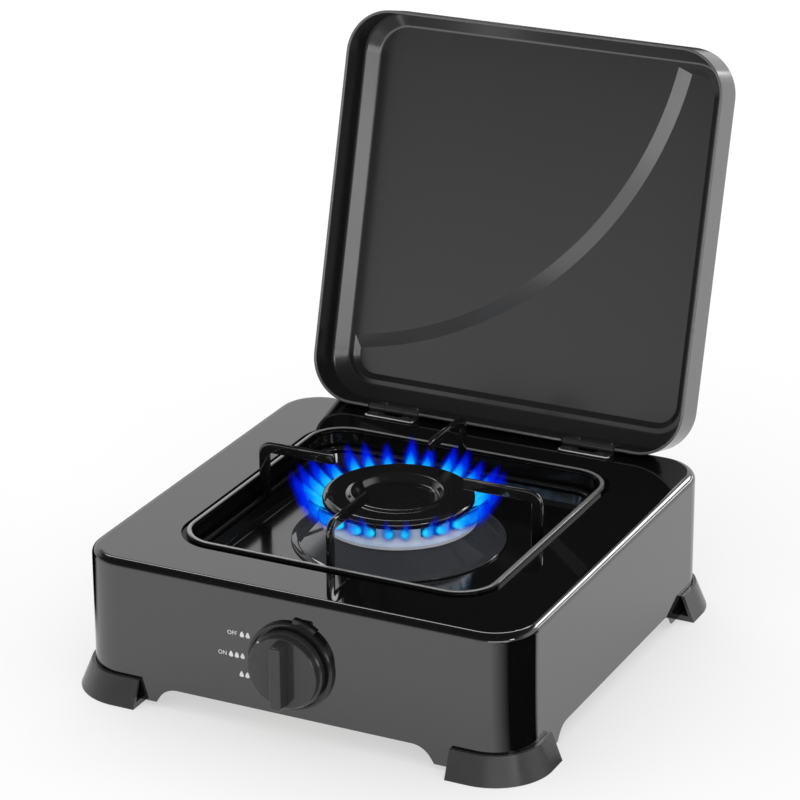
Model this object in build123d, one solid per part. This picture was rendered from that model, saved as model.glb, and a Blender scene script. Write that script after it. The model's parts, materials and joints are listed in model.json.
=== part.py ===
"""One-burner camping stove with a folding lid.

Millimetres, +Z up, the knob faces -Y. Everything is drawn round the middle of
the body, with the floor at z = 0, and is moved along Y at the end so that the
origin lies under the middle of the whole stove with its lid open.
"""
import os
from math import atan, cos, degrees, radians, sin

from build123d import *

# Body pressing
body_width = 285.0
body_depth = 285.0
body_corner_radius = 27.0
top_height = 90.0
top_edge_radius = 5.0
sheet = 1.0
skirt_height = 3.5
front_arch_height = 13.5
front_arch_inset = 58.5
side_arch_height = 12.0
side_arch_inset = 61.5
arch_slope = 7.0
arch_radius = 14.0
corner_tab_size = 40.0
corner_tab_height = 8.0

# Well pressed into the top
well_width = 193.0
well_length = 191.0
well_corner_radius = 21.0
well_center_y = -2.5
ledge_drop = 12.0
ledge_width = 7.0
well_drop = 20.0
well_wall_lean = 3.0
well_rim_radius = 2.3
ledge_corner_radius = 1.6
well_floor_radius = 4.0
throat_hole_radius = 16.0
bead_width = 4.4
bead_height = 1.8
bead_edge_radius = 1.7
moat_width = 2.4
moat_depth = 1.2
moat_edge_radius = 0.9

# Feet
foot_height = 16.5
foot_flare = 9.2
foot_top_overhang = 2.5
foot_wall = 2.2
foot_length = 41.5
foot_screw_inset = 24.0
foot_boss_radius = 6.5
foot_head_recess_radius = 3.8
foot_head_recess_depth = 3.2

# Screws and rivets
screw_radius = 1.6
screw_clearance = 0.1
screw_head_radius = 3.2
screw_head_height = 2.1
foot_screw_tip = 14.0
rivet_radius = 1.5
rivet_head_radius = 2.6
rivet_head_height = 1.1

# Lid pressing, drawn closed
lid_side_margin = 14.7
lid_front_margin = 19.6
lid_corner_radius = 29.0
lid_sheet = 1.2
lid_rim_gap = 0.8
lid_wall_height = 25.0
lid_bevel_width = 9.2
lid_bevel_height = 7.0
lid_edge_radius = 3.0
lid_step_height = 2.7
lid_step_slope = 8.8
lid_arc_center_x = -149.4
lid_arc_center_from_hinge = 276.6
lid_arc_radius = 243.4
lid_open_angle = 105.0

# Hinges
hinge_x = 67.5
hinge_width = 34.5
hinge_from_rear = 13.0
hinge_axis_rise = 3.15
hinge_wall_offset = 0.4
hinge_leaf_thickness = 0.8
hinge_leaf_front = 10.0
hinge_pin_radius = 1.2
hinge_knuckle_radius = 2.4
hinge_lid_knuckle_half = 6.0
hinge_gap = 0.3
hinge_lid_leaf_gap = 0.8
hinge_lid_leaf_height = 11.0
hinge_notch_margin = 0.6
hinge_rivet_spacing = 22.0
hinge_rivet_set_back = 3.2

# Burner
cone_base_radius = 65.0
cone_rim_width = 4.0
cone_top_radius = 46.0
cone_hole_radius = 40.0
cone_height = 13.0
cone_sheet = 1.0
burner_flange_radius = 47.5
burner_flange_thickness = 2.0
burner_wall_radius = 43.8
burner_wall_thickness = 2.4
burner_wall_height = 10.0
burner_bowl_radius = 39.0
burner_throat_radius = 11.2
burner_throat_wall = 1.4
burner_throat_drop = 25.0
burner_bowl_drop = 11.0
port_count = 28
port_width = 2.6
port_depth = 6.0
cap_radius = 46.0
cap_height = 5.4
cap_edge_radius = 2.0
cap_lip_radius = 27.5
cap_lip_width = 3.0
cap_lip_rise = 0.7
cap_lip_slope = 1.0
cap_dish_radius = 22.0
cap_dish_drop = 4.0
cap_thickness = 1.6
cap_guide_clearance = 0.3
cap_guide_width = 2.4
cap_guide_height = 3.0

# Pan support
frame_bar_width = 3.8
frame_bar_height = 3.0
frame_inset = 1.9
arm_count = 4
arm_top_rise = 27.4
arm_depth = 7.4
arm_thickness = 3.0
arm_inner_end = 43.5
arm_bend_radius = 9.0

# Control
control_height = 46.5
bezel_radius = 27.25
bezel_rim_width = 2.0
bezel_rim_height = 3.0
bezel_edge = 0.75
bezel_plate = 1.0
bezel_hole_radius = 9.0
bezel_lug_radius = 30.2
bezel_lug_start = 56.0
bezel_lug_end = 86.0
bezel_peg_radius = 1.6
bezel_peg_circle = 15.0
bezel_peg_depth = 3.0
spindle_hole_radius = 5.5
knob_push = 3.0
knob_gap = 0.4
knob_skirt_radius = 23.6
knob_skirt_height = 4.2
knob_disc_radius = 22.0
knob_disc_height = 3.6
knob_wall = 2.2
knob_hub_radius = 6.0
knob_bar_width = 8.4
knob_bar_length = 40.5
knob_bar_height = 9.0
knob_bar_taper = 4.0
knob_edge_radius = 0.9

# Valve, measured back from the front face
valve_front = 13.5
valve_cover_thickness = 1.5
valve_cover_width = 27.0
valve_cover_height = 18.0
valve_cover_corner_radius = 4.5
valve_cover_screw_spacing = 19.0
valve_cover_screw_radius = 1.2
valve_cover_screw_head_radius = 2.2
valve_cover_screw_head_height = 1.1
valve_cover_screw_length = 10.0
valve_radius = 12.0
valve_length = 33.0
plug_length = 22.0
plug_front_radius = 5.7
plug_back_radius = 4.2
plug_clearance = 0.3
plug_end_gap = 0.4
plug_port_radius = 1.5
spindle_radius = 3.0
spindle_flat = 2.2
spindle_clearance = 0.3
spindle_in_knob = 6.5
spindle_in_plug = 8.0
spindle_collar_radius = 5.0
spindle_collar_thickness = 1.0
spring_length = 6.5
spring_radius = 4.1
spring_wire_radius = 0.4
spring_turns = 3.5
injector_thread_radius = 4.0
injector_thread_length = 8.0
injector_hex = 10.0
injector_hex_length = 4.5
injector_tip_length = 3.0
injector_tip_base_radius = 3.3
injector_tip_radius = 1.8
injector_bore_radius = 0.6
gas_bore_radius = 2.0
inlet_boss_radius = 7.0
inlet_boss_reach = 22.0
inlet_boss_set_back = 16.0

# Bracket, mixing tube, pipe
bracket_thickness = 1.5
bracket_half_width = 14.0
bracket_foot_length = 46.0
bracket_drop = 33.0
bracket_screw_spacing = 16.0
bracket_screw_from_end = 6.0
floor_screw_length = 6.0
mixer_radius = 9.0
mixer_wall = 1.2
mixer_start_gap = 3.0
mixer_cup_radius = 14.0
mixer_cup_wall = 2.5
mixer_throat_clearance = 0.3
mixer_flange_radius = 27.0
mixer_flange_thickness = 2.0
mixer_screw_circle = 21.0
mixer_screw_count = 3
pipe_radius = 3.0
pipe_bore_radius = 2.0
pipe_bend_radius = 12.0
pipe_in_boss = 6.0
inlet_from_side = 47.5
nozzle_flange_radius = 9.0
nozzle_flange_thickness = 2.5
nozzle_thread_radius = 6.0
nozzle_inside_length = 12.0
nozzle_barb_radius = 5.0
nozzle_neck_radius = 4.2
nozzle_barb_length = 6.0
nozzle_barb_land = 2.0
nozzle_barb_count = 3
nozzle_pipe_depth = 9.0
nut_hex = 17.0
nut_thickness = 4.5
union_hex = 14.0
union_length = 9.0

# Working allowances: how far a cutter runs past a face, and the slack when edges are picked
overshoot = 1.0
slack = 0.1

# Levels and planes that follow from the sizes above
front_face = -body_depth / 2
rear_face = body_depth / 2
ledge_level = top_height - ledge_drop
well_floor = top_height - well_drop
well_underside = well_floor - sheet
hinge_axis_y = rear_face - hinge_from_rear
hinge_axis_z = top_height + hinge_axis_rise
lid_rear = hinge_axis_y + hinge_wall_offset
lid_width = body_width - 2 * lid_side_margin
lid_length = lid_rear - front_face - lid_front_margin
lid_center_y = lid_rear - lid_length / 2
lid_rim = top_height + lid_rim_gap
hinge_axis = Axis((0, hinge_axis_y, hinge_axis_z), (1, 0, 0))
cone_top = well_floor + cone_height
burner_deck = cone_top + burner_flange_thickness
cap_seat = burner_deck + burner_wall_height
frame_top = ledge_level + frame_bar_height
knob_back = front_face - bezel_plate - knob_push - knob_gap
cover_front = front_face + sheet + valve_front - valve_cover_thickness
valve_face = front_face + sheet + valve_front
valve_back = valve_face + valve_length
plug_face = valve_face + plug_end_gap
plug_back = plug_face + plug_length
injector_tip = valve_back + bracket_thickness + injector_hex_length + injector_tip_length
inlet_boss_y = valve_face + inlet_boss_set_back
foot_screw_x = body_width / 2 - foot_screw_inset
foot_screw_y = body_depth / 2 - foot_screw_inset
front_arch_half = body_width / 2 - front_arch_inset
side_arch_half = body_depth / 2 - side_arch_inset
inlet_x = inlet_from_side - body_width / 2


def block(width, depth, radius, bottom, top, y=0.0):
    """Upright block with rounded corners."""
    return Pos(0, y, bottom) * extrude(RectangleRounded(width, depth, radius), top - bottom)


def rod(radius, start, end):
    """Round rod along Y on the control axis, from one y to another."""
    tool = Plane((0, start, control_height), x_dir=(1, 0, 0), z_dir=(0, 1, 0))
    return tool * extrude(Circle(radius), end - start)


def cone_rod(start_radius, end_radius, start, end):
    """Tapered rod along Y on the control axis."""
    tool = Plane((0, (start + end) / 2, control_height), x_dir=(1, 0, 0), z_dir=(0, 1, 0))
    return tool * Cone(start_radius, end_radius, end - start)


def flat_rod(radius, flat, start, end):
    """Rod along Y with one flat on its upper side."""
    trim = Pos(0, (start + end) / 2, control_height + flat + radius)
    return rod(radius, start, end) - trim * Box(4 * radius, 2 * abs(end - start), 2 * radius)


def upright(radius, bottom, top, x=0.0, y=0.0):
    """Upright round rod."""
    return Pos(x, y, bottom) * extrude(Circle(radius), top - bottom)


def turned(points, x=0.0, y=0.0):
    """Solid of revolution about an upright line, from (radius, height) corners."""
    face = make_face(Polyline(*[(r, 0, h) for r, h in points], close=True))
    return Pos(x, y, 0) * revolve(face, Axis.Z)


def edges_between(shape, low, high):
    """Edges whose whole length lies between two heights."""
    found = ShapeList()
    for edge in shape.edges():
        box = edge.bounding_box()
        if box.min.Z > low and box.max.Z < high:
            found.append(edge)
    return found


def group(pieces):
    """Several equal solids as one node."""
    return Compound([piece.solid() for piece in pieces])


# Body

def well_space(grow):
    """The room of the well, grown by the sheet for the underside of the pressing."""
    upper_bottom = ledge_level - grow
    width = well_width + 2 * grow
    length = well_length + 2 * grow
    radius = well_corner_radius + grow
    space = block(width, length, radius, upper_bottom, top_height + top_edge_radius, well_center_y)
    space = fillet(edges_between(space, upper_bottom - slack, upper_bottom + slack), ledge_corner_radius + grow)
    inset = 2 * ledge_width
    face = RectangleRounded(width - inset, length - inset, radius - ledge_width)
    depth = well_drop - ledge_drop
    lean = degrees(atan(well_wall_lean / depth))
    plane = Plane((0, well_center_y, upper_bottom), x_dir=(1, 0, 0), z_dir=(0, 0, -1))
    lower = plane * extrude(face, depth, taper=lean)
    low = well_floor - grow
    lower = fillet(edges_between(lower, low - slack, low + slack), well_floor_radius + grow)
    lift = Pos(0, well_center_y, upper_bottom)
    return space + lower + lift * extrude(face, ledge_corner_radius)


def arch(half, height, length, turn):
    """Cutter for the arched lower edge of two facing walls."""
    low = skirt_height - sheet
    corners = [
        (-half - arch_slope, low),
        (-half, height),
        (half, height),
        (half + arch_slope, low),
    ]
    face = make_face(Polyline(*corners, close=True))
    tops = face.vertices().sort_by(Axis.Y)[-2:]
    face = fillet(tops, arch_radius)
    cutter = Plane.XZ * extrude(face, length, both=True)
    return Rot(0, 0, turn) * cutter


def round_well(spread, bottom, top):
    """Block that follows the outline of the well at a distance outside it."""
    return block(
        well_width + 2 * spread,
        well_length + 2 * spread,
        well_corner_radius + spread,
        bottom,
        top,
        well_center_y,
    )


def well_bead(inset):
    """Raised bead pressed round the well, which keeps spills in; drawn as a full block."""
    top = top_height - inset
    crest = top + bead_height
    bead = round_well(bead_width - inset, top - sheet, crest)
    return fillet(edges_between(bead, crest - slack, crest + slack), bead_edge_radius - inset)


def bead_moat(inset):
    """Shallow channel pressed round the bead."""
    low = top_height - moat_depth - inset
    high = top_height + overshoot
    outer = round_well(bead_width + moat_width + inset, low, high)
    return outer - round_well(bead_width - inset, low - overshoot, high + overshoot)


def edges_near_well(solid, level, spread):
    """Edges of a solid at a level that lie within a distance outside the well."""
    near = ShapeList()
    for edge in edges_between(solid, level - slack, level + slack):
        box = edge.bounding_box()
        reach_x = max(abs(box.min.X), abs(box.max.X))
        reach_y = max(abs(box.min.Y - well_center_y), abs(box.max.Y - well_center_y))
        if reach_x < well_width / 2 + spread and reach_y < well_length / 2 + spread:
            near.append(edge)
    return near


def hollow_block(inset):
    """Body block with the well taken out, and its soft edges."""
    top = top_height - inset
    solid = block(
        body_width - 2 * inset,
        body_depth - 2 * inset,
        body_corner_radius - inset,
        skirt_height - inset,
        top,
    )
    solid = fillet(edges_between(solid, top - slack, top + slack), top_edge_radius - inset)
    solid = solid - bead_moat(inset)
    if moat_edge_radius > inset:
        edge = edges_near_well(solid, top, bead_width + moat_width + inset + slack)
        outside = edges_near_well(solid, top, bead_width + slack)
        solid = fillet([e for e in edge if e not in outside], moat_edge_radius - inset)
    solid = solid + well_bead(inset) - well_space(inset)
    rim = edges_near_well(solid, top + bead_height, sheet + slack)
    return fillet(rim, well_rim_radius - inset)


def corner_tabs():
    """Flanges turned in at the four corners, for the foot screws."""
    plate = block(
        body_width - sheet,
        body_depth - sheet,
        body_corner_radius - sheet / 2,
        corner_tab_height,
        corner_tab_height + sheet,
    )
    tabs = []
    for side_x in (-1, 1):
        for side_y in (-1, 1):
            x = side_x * body_width / 2
            y = side_y * body_depth / 2
            tool = Pos(x, y, corner_tab_height) * Box(2 * corner_tab_size, 2 * corner_tab_size, 4 * sheet)
            hole = upright(
                screw_radius + screw_clearance, 0, top_height / 2, side_x * foot_screw_x, side_y * foot_screw_y
            )
            tabs.append((plate & tool) - hole)
    return tabs


def mixer_screw_points():
    """Places of the screws round the burner throat."""
    points = []
    for i in range(mixer_screw_count):
        angle = radians(90 + i * 360 / mixer_screw_count)
        x = mixer_screw_circle * cos(angle)
        points.append((x, well_center_y + mixer_screw_circle * sin(angle)))
    return points


def bracket_screw_points():
    """Places of the two screws of the valve bracket."""
    y = valve_back + bracket_foot_length - bracket_screw_from_end
    return [(-bracket_screw_spacing / 2, y), (bracket_screw_spacing / 2, y)]


def hinge_rivet_points():
    """Places of the rivets of both body leaves."""
    y = hinge_axis_y - hinge_leaf_front + hinge_rivet_set_back
    points = []
    for center in (-hinge_x, hinge_x):
        for side in (-1, 1):
            points.append((center + side * hinge_rivet_spacing / 2, y))
    return points


def bezel_peg_points():
    """Places of the two pegs of the bezel, beside the spindle hole."""
    return [(-bezel_peg_circle, control_height), (bezel_peg_circle, control_height)]


def along_y(radius, start, end, x, z):
    """Round rod along Y anywhere."""
    tool = Plane((x, start, z), x_dir=(1, 0, 0), z_dir=(0, 1, 0))
    return tool * extrude(Circle(radius), end - start)


def body_shell():
    shell = hollow_block(0.0) - hollow_block(sheet)
    shell -= arch(front_arch_half, front_arch_height, body_depth, 0)
    shell -= arch(side_arch_half, side_arch_height, body_width, 90)
    for tab in corner_tabs():
        shell += tab
    shell -= upright(throat_hole_radius, well_underside - sheet, well_floor + sheet, 0, well_center_y)
    for x, y in mixer_screw_points() + bracket_screw_points():
        shell -= upright(screw_radius + screw_clearance, well_underside - sheet, well_floor + sheet, x, y)
    for x, y in hinge_rivet_points():
        shell -= upright(rivet_radius, top_height - 2 * sheet, top_height + sheet, x, y)
    shell -= rod(spindle_hole_radius, front_face - sheet, front_face + 2 * sheet)
    for x, z in bezel_peg_points():
        shell -= along_y(bezel_peg_radius, front_face - sheet, front_face + 2 * sheet, x, z)
    shell -= along_y(nozzle_thread_radius, rear_face - 2 * sheet, rear_face + sheet, inlet_x, control_height)
    return shell


# Feet

def flared_block(flare):
    """Block round the skirt that leans in towards its top."""
    lean = degrees(atan((foot_flare - foot_top_overhang) / foot_height))
    face = RectangleRounded(
        body_width + 2 * flare, body_depth + 2 * flare, body_corner_radius + flare
    )
    return extrude(face, foot_height, taper=lean)


def foot(side_x, side_y):
    solid = flared_block(foot_flare) - Pos(0, 0, skirt_height) * flared_block(
        foot_flare - foot_wall - (foot_flare - foot_top_overhang) * skirt_height / foot_height
    )
    reach = 2 * (foot_length + foot_flare)
    x = side_x * (body_width / 2 + foot_flare)
    y = side_y * (body_depth / 2 + foot_flare)
    solid = solid & (Pos(x, y, 0) * Box(reach, reach, 4 * foot_height))
    screw_x = side_x * foot_screw_x
    screw_y = side_y * foot_screw_y
    solid += upright(foot_boss_radius, 0, corner_tab_height, screw_x, screw_y)
    solid -= upright(screw_radius + screw_clearance, -overshoot, foot_height, screw_x, screw_y)
    solid -= upright(foot_head_recess_radius, -overshoot, foot_head_recess_depth, screw_x, screw_y)
    return solid


def screw_up(x, y, seat, tip, head_radius=screw_head_radius, radius=screw_radius):
    """Pan-head screw driven upward, its head under the seat."""
    head = upright(head_radius, seat - screw_head_height, seat, x, y)
    return head + upright(radius, seat, tip, x, y)


def foot_screws():
    screws = []
    for side_x in (-1, 1):
        for side_y in (-1, 1):
            x = side_x * foot_screw_x
            y = side_y * foot_screw_y
            screws.append(screw_up(x, y, foot_head_recess_depth, foot_screw_tip))
    return group(screws)


# Lid, drawn closed and then turned open

def lid_tray(inset):
    """Lid tray with its bevelled panel; inset gives the inside of the sheet."""
    width = lid_width - 2 * inset
    length = lid_length - 2 * inset
    radius = lid_corner_radius - inset
    wall_top = lid_rim + lid_wall_height - inset / 2
    tray = block(width, length, radius, lid_rim - inset, wall_top, lid_center_y)
    lean = degrees(atan(lid_bevel_width / lid_bevel_height))
    face = Pos(0, lid_center_y, wall_top) * RectangleRounded(width, length, radius)
    tray += extrude(face, lid_bevel_height - inset / 2, taper=lean)
    tops = tray.edges().group_by(Axis.Z)[-1]
    tray = fillet(tops, lid_edge_radius)
    bends = edges_between(tray, wall_top - slack, wall_top + slack)
    return fillet(bends, lid_edge_radius)


def lid_step(inset):
    """Raised part of the panel, outside a large circle, with a sloping edge."""
    panel = lid_rim + lid_wall_height + lid_bevel_height - inset
    margin = 2 * (lid_bevel_width + lid_edge_radius)
    lean = degrees(atan(lid_bevel_width / lid_bevel_height))
    low = panel - lid_edge_radius
    spread = 2 * lid_edge_radius * lid_bevel_width / lid_bevel_height
    face = RectangleRounded(
        lid_width - 2 * inset - margin + spread,
        lid_length - 2 * inset - margin + spread,
        lid_corner_radius - lid_bevel_width,
    )
    plate = Pos(0, lid_center_y, low) * extrude(face, lid_step_height + lid_edge_radius, taper=lean)
    middle = lid_arc_radius - inset / 2
    center_y = lid_rear - lid_arc_center_from_hinge
    rise = lid_step_height + lid_edge_radius
    slope = lid_step_slope / lid_step_height
    bottom_radius = middle - (lid_step_height / 2 + lid_edge_radius) * slope
    top_radius = middle + lid_step_height / 2 * slope
    cutter = Pos(lid_arc_center_x, center_y, low + rise / 2) * Cone(bottom_radius, top_radius, rise)
    return plate - cutter


def lid_leaf_level():
    """Height of the lower edge of the lid leaves when the lid is closed."""
    return hinge_axis_z + hinge_knuckle_radius + hinge_lid_leaf_gap


def lid_rivet_points():
    """Places (x, z) of the rivets of both lid leaves."""
    z = lid_leaf_level() + hinge_lid_leaf_height / 2
    points = []
    for center in (-hinge_x, hinge_x):
        for side in (-1, 1):
            points.append((center + side * hinge_rivet_spacing / 2, z))
    return points


def opened(shape):
    """Turn a piece of the closed lid to its open place."""
    return shape.rotate(hinge_axis, -lid_open_angle)


def lid_shell():
    shell = (lid_tray(0.0) + lid_step(0.0)) - (lid_tray(lid_sheet) + lid_step(lid_sheet))
    notch_top = hinge_axis_z + hinge_knuckle_radius + hinge_notch_margin
    for center in (-hinge_x, hinge_x):
        width = hinge_width + 2 * hinge_notch_margin
        tool = Pos(center, lid_rear, 0) * Box(width, 6 * lid_sheet, 2 * notch_top)
        shell -= tool
    for x, z in lid_rivet_points():
        shell -= along_y(rivet_radius, lid_rear - 3 * lid_sheet, lid_rear + lid_sheet, x, z)
    return opened(shell)


# Hinges

def along_x(radius, start, end):
    """Round rod along the hinge axis."""
    tool = Plane((start, hinge_axis_y, hinge_axis_z), x_dir=(0, 1, 0), z_dir=(1, 0, 0))
    return tool * extrude(Circle(radius), end - start)


def hinge_body_leaf(center):
    half = hinge_width / 2
    middle_y = hinge_axis_y - hinge_leaf_front / 2
    middle_z = top_height + hinge_leaf_thickness / 2
    leaf = Pos(center, middle_y, middle_z) * Box(hinge_width, hinge_leaf_front, hinge_leaf_thickness)
    free = hinge_lid_knuckle_half + hinge_gap
    leaf -= Pos(center, hinge_axis_y, middle_z) * Box(2 * free, 4 * hinge_knuckle_radius, hinge_axis_rise)
    for side in (-1, 1):
        start = center + side * free
        end = center + side * half
        leaf += along_x(hinge_knuckle_radius, min(start, end), max(start, end))
    leaf -= along_x(hinge_pin_radius, center - half, center + half)
    for x, y in hinge_rivet_points():
        leaf -= upright(rivet_radius, top_height - sheet, top_height + hinge_leaf_thickness, x, y)
    return leaf


def hinge_lid_leaf(center):
    low = lid_leaf_level()
    inner = lid_rear - lid_sheet
    middle_y = inner - hinge_leaf_thickness / 2
    leaf = Pos(center, middle_y, low + hinge_lid_leaf_height / 2) * Box(
        hinge_width, hinge_leaf_thickness, hinge_lid_leaf_height
    )
    tongue = low - hinge_axis_z + hinge_leaf_thickness
    width = 2 * hinge_lid_knuckle_half
    leaf += Pos(center, middle_y, hinge_axis_z + tongue / 2) * Box(width, hinge_leaf_thickness, tongue)
    start = center - hinge_lid_knuckle_half
    end = center + hinge_lid_knuckle_half
    leaf += along_x(hinge_knuckle_radius, start, end)
    leaf -= along_x(hinge_pin_radius + hinge_gap, start, end)
    for x, z in lid_rivet_points():
        leaf -= along_y(rivet_radius, inner - 3 * hinge_leaf_thickness, inner, x, z)
    return opened(leaf)


def hinge_pin(center):
    return along_x(hinge_pin_radius, center - hinge_width / 2, center + hinge_width / 2)


def body_rivets():
    rivets = []
    for x, y in hinge_rivet_points():
        top = top_height + hinge_leaf_thickness
        bottom = top_height - sheet
        rivet = upright(rivet_radius, bottom, top, x, y)
        rivet += upright(rivet_head_radius, top, top + rivet_head_height, x, y)
        rivet += upright(rivet_head_radius, bottom - rivet_head_height, bottom, x, y)
        rivets.append(rivet)
    return group(rivets)


def lid_rivets():
    rivets = []
    for x, z in lid_rivet_points():
        inner = lid_rear - lid_sheet - hinge_leaf_thickness
        rivet = along_y(rivet_radius, inner, lid_rear, x, z)
        rivet += along_y(rivet_head_radius, inner - rivet_head_height, inner, x, z)
        rivets.append(opened(rivet))
    return group(rivets)


# Burner

def drip_cone():
    inner_rim = cone_base_radius - cone_rim_width
    points = [
        (cone_base_radius, well_floor),
        (cone_base_radius, well_floor + cone_sheet),
        (inner_rim, well_floor + 2 * cone_sheet),
        (cone_top_radius, cone_top),
        (cone_hole_radius, cone_top),
        (cone_hole_radius, cone_top - cone_sheet),
        (cone_top_radius - cone_sheet, cone_top - cone_sheet),
        (inner_rim - cone_sheet, well_floor + cone_sheet),
        (inner_rim - cone_sheet, well_floor),
    ]
    return turned(points, 0, well_center_y)


def burner_base():
    wall_inner = burner_wall_radius - burner_wall_thickness
    bowl_bottom = cone_top - burner_bowl_drop
    throat_bottom = cone_top - burner_throat_drop
    throat_inner = burner_throat_radius - burner_throat_wall
    points = [
        (throat_inner, throat_bottom),
        (burner_throat_radius, throat_bottom),
        (burner_throat_radius, bowl_bottom),
        (burner_bowl_radius, cone_top),
        (burner_flange_radius, cone_top),
        (burner_flange_radius, burner_deck),
        (burner_wall_radius, burner_deck),
        (burner_wall_radius, cap_seat),
        (wall_inner, cap_seat),
        (wall_inner, burner_deck),
        (throat_inner, bowl_bottom + burner_flange_thickness),
    ]
    base = turned(points, 0, well_center_y)
    port_length = 3 * burner_wall_thickness
    for i in range(port_count):
        place = Pos(0, well_center_y, cap_seat) * Rot(0, 0, (i + 0.5) * 360 / port_count)
        tool = Pos(burner_wall_radius, 0, 0) * Box(port_length, port_width, 2 * port_depth)
        base -= place * tool
    return base


def burner_cap():
    top = cap_seat + cap_height
    lip_inner = cap_lip_radius - cap_lip_width
    guide_outer = burner_wall_radius - burner_wall_thickness - cap_guide_clearance
    guide_inner = guide_outer - cap_guide_width
    dish = top - cap_dish_drop
    points = [
        (0, dish - cap_thickness),
        (guide_inner, dish - cap_thickness),
        (guide_inner, cap_seat - cap_guide_height),
        (guide_outer, cap_seat - cap_guide_height),
        (guide_outer, cap_seat),
        (cap_radius, cap_seat),
        (cap_radius, top - cap_edge_radius),
        (cap_radius - cap_edge_radius, top),
        (cap_lip_radius, top - cap_lip_rise),
        (cap_lip_radius - cap_lip_slope, top + cap_lip_rise),
        (lip_inner, top + cap_lip_rise),
        (cap_dish_radius, dish),
        (0, dish),
    ]
    return turned(points, 0, well_center_y)


# Pan support

def frame_ring(inset, bottom, top):
    """Rounded block that follows the well at an inset."""
    return block(
        well_width - 2 * inset,
        well_length - 2 * inset,
        well_corner_radius - inset,
        bottom,
        top,
        well_center_y,
    )


def pan_frame():
    outer = frame_ring(frame_inset, ledge_level, frame_top)
    inset = frame_inset + frame_bar_width
    return outer - frame_ring(inset, ledge_level - overshoot, frame_top + overshoot)


def pan_arm(index):
    """Flat bar on edge: a riser on the frame, a bend and a level run inward."""
    top = top_height + arm_top_rise
    across = well_width if index % 2 == 0 else well_length
    reach = across / 2 - frame_inset
    inner = reach - arm_depth
    corners = [
        (arm_inner_end, top),
        (reach, top),
        (reach, frame_top),
        (inner, frame_top),
        (inner, top - arm_depth),
        (arm_inner_end, top - arm_depth),
    ]
    face = make_face(Polyline(*corners, close=True))
    bend = face.vertices().filter_by_position(Axis.Y, top - slack, top + slack).sort_by(Axis.X)[-1:]
    face = fillet(bend, arm_bend_radius)
    bar = Plane.XZ * extrude(face, arm_thickness / 2, both=True)
    return Pos(0, well_center_y, 0) * Rot(0, 0, index * 360 / arm_count) * bar


# Control

def knob_bezel():
    plate_front = front_face - bezel_plate
    rim_front = front_face - bezel_rim_height
    bezel = rod(bezel_radius, rim_front, front_face)
    bezel = chamfer(bezel.edges().sort_by(Axis.Y)[0:1], bezel_edge)
    bezel -= rod(bezel_radius - bezel_rim_width, rim_front - overshoot, plate_front)
    lug = rod(bezel_lug_radius, rim_front + bezel_plate, front_face)
    lug -= rod(bezel_radius - bezel_rim_width / 2, rim_front, front_face + overshoot)
    reach = 2 * bezel_lug_radius
    fan = [(0, 0)]
    for angle in (bezel_lug_start, bezel_lug_end):
        fan.append((reach * cos(radians(angle)), reach * sin(radians(angle))))
    sector = Plane.XZ * extrude(make_face(Polyline(*fan, close=True)), 2 * body_depth, both=True)
    bezel += lug & (Pos(0, 0, control_height) * sector)
    bezel -= rod(bezel_hole_radius, rim_front - overshoot, front_face + overshoot)
    for x, z in bezel_peg_points():
        bezel += along_y(bezel_peg_radius, front_face - bezel_plate / 2, front_face + bezel_peg_depth, x, z)
    return bezel


def knob():
    skirt_front = knob_back - knob_skirt_height
    disc_front = skirt_front - knob_disc_height
    solid = rod(knob_skirt_radius, skirt_front, knob_back)
    solid = chamfer(solid.edges().sort_by(Axis.Y)[0:1], knob_edge_radius)
    disc = rod(knob_disc_radius, disc_front, skirt_front)
    disc = fillet(disc.edges().sort_by(Axis.Y)[0:1], knob_edge_radius)
    solid += disc
    solid -= rod(knob_disc_radius - knob_wall, disc_front + knob_wall, knob_back + overshoot)
    solid += rod(knob_hub_radius, disc_front + knob_wall / 2, knob_back)
    plane = Plane((0, disc_front + knob_wall / 2, control_height), x_dir=(1, 0, 0), z_dir=(0, -1, 0))
    grip = plane * extrude(
        RectangleRounded(knob_bar_width, knob_bar_length, knob_wall),
        knob_bar_height + knob_wall / 2,
        taper=knob_bar_taper,
    )
    grip = fillet(grip.edges().group_by(Axis.Y)[0], knob_edge_radius)
    solid += grip
    solid -= flat_rod(spindle_radius, spindle_flat, knob_back - spindle_in_knob, knob_back + overshoot)
    return solid


# Valve

def valve_cover():
    plane = Plane((0, cover_front, control_height), x_dir=(1, 0, 0), z_dir=(0, 1, 0))
    plate = plane * extrude(
        RectangleRounded(valve_cover_width, valve_cover_height, valve_cover_corner_radius),
        valve_cover_thickness,
    )
    plate -= rod(spindle_radius + spindle_clearance, cover_front - overshoot, valve_face + overshoot)
    for x in (-valve_cover_screw_spacing / 2, valve_cover_screw_spacing / 2):
        back = valve_face + overshoot
        plate -= along_y(valve_cover_screw_radius, cover_front - overshoot, back, x, control_height)
    return plate


def valve_cover_screws():
    screws = []
    for x in (-valve_cover_screw_spacing / 2, valve_cover_screw_spacing / 2):
        head_front = cover_front - valve_cover_screw_head_height
        screw = along_y(valve_cover_screw_head_radius, head_front, cover_front, x, control_height)
        tip = cover_front + valve_cover_screw_length
        screw += along_y(valve_cover_screw_radius, cover_front, tip, x, control_height)
        screws.append(screw)
    return group(screws)


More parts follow.
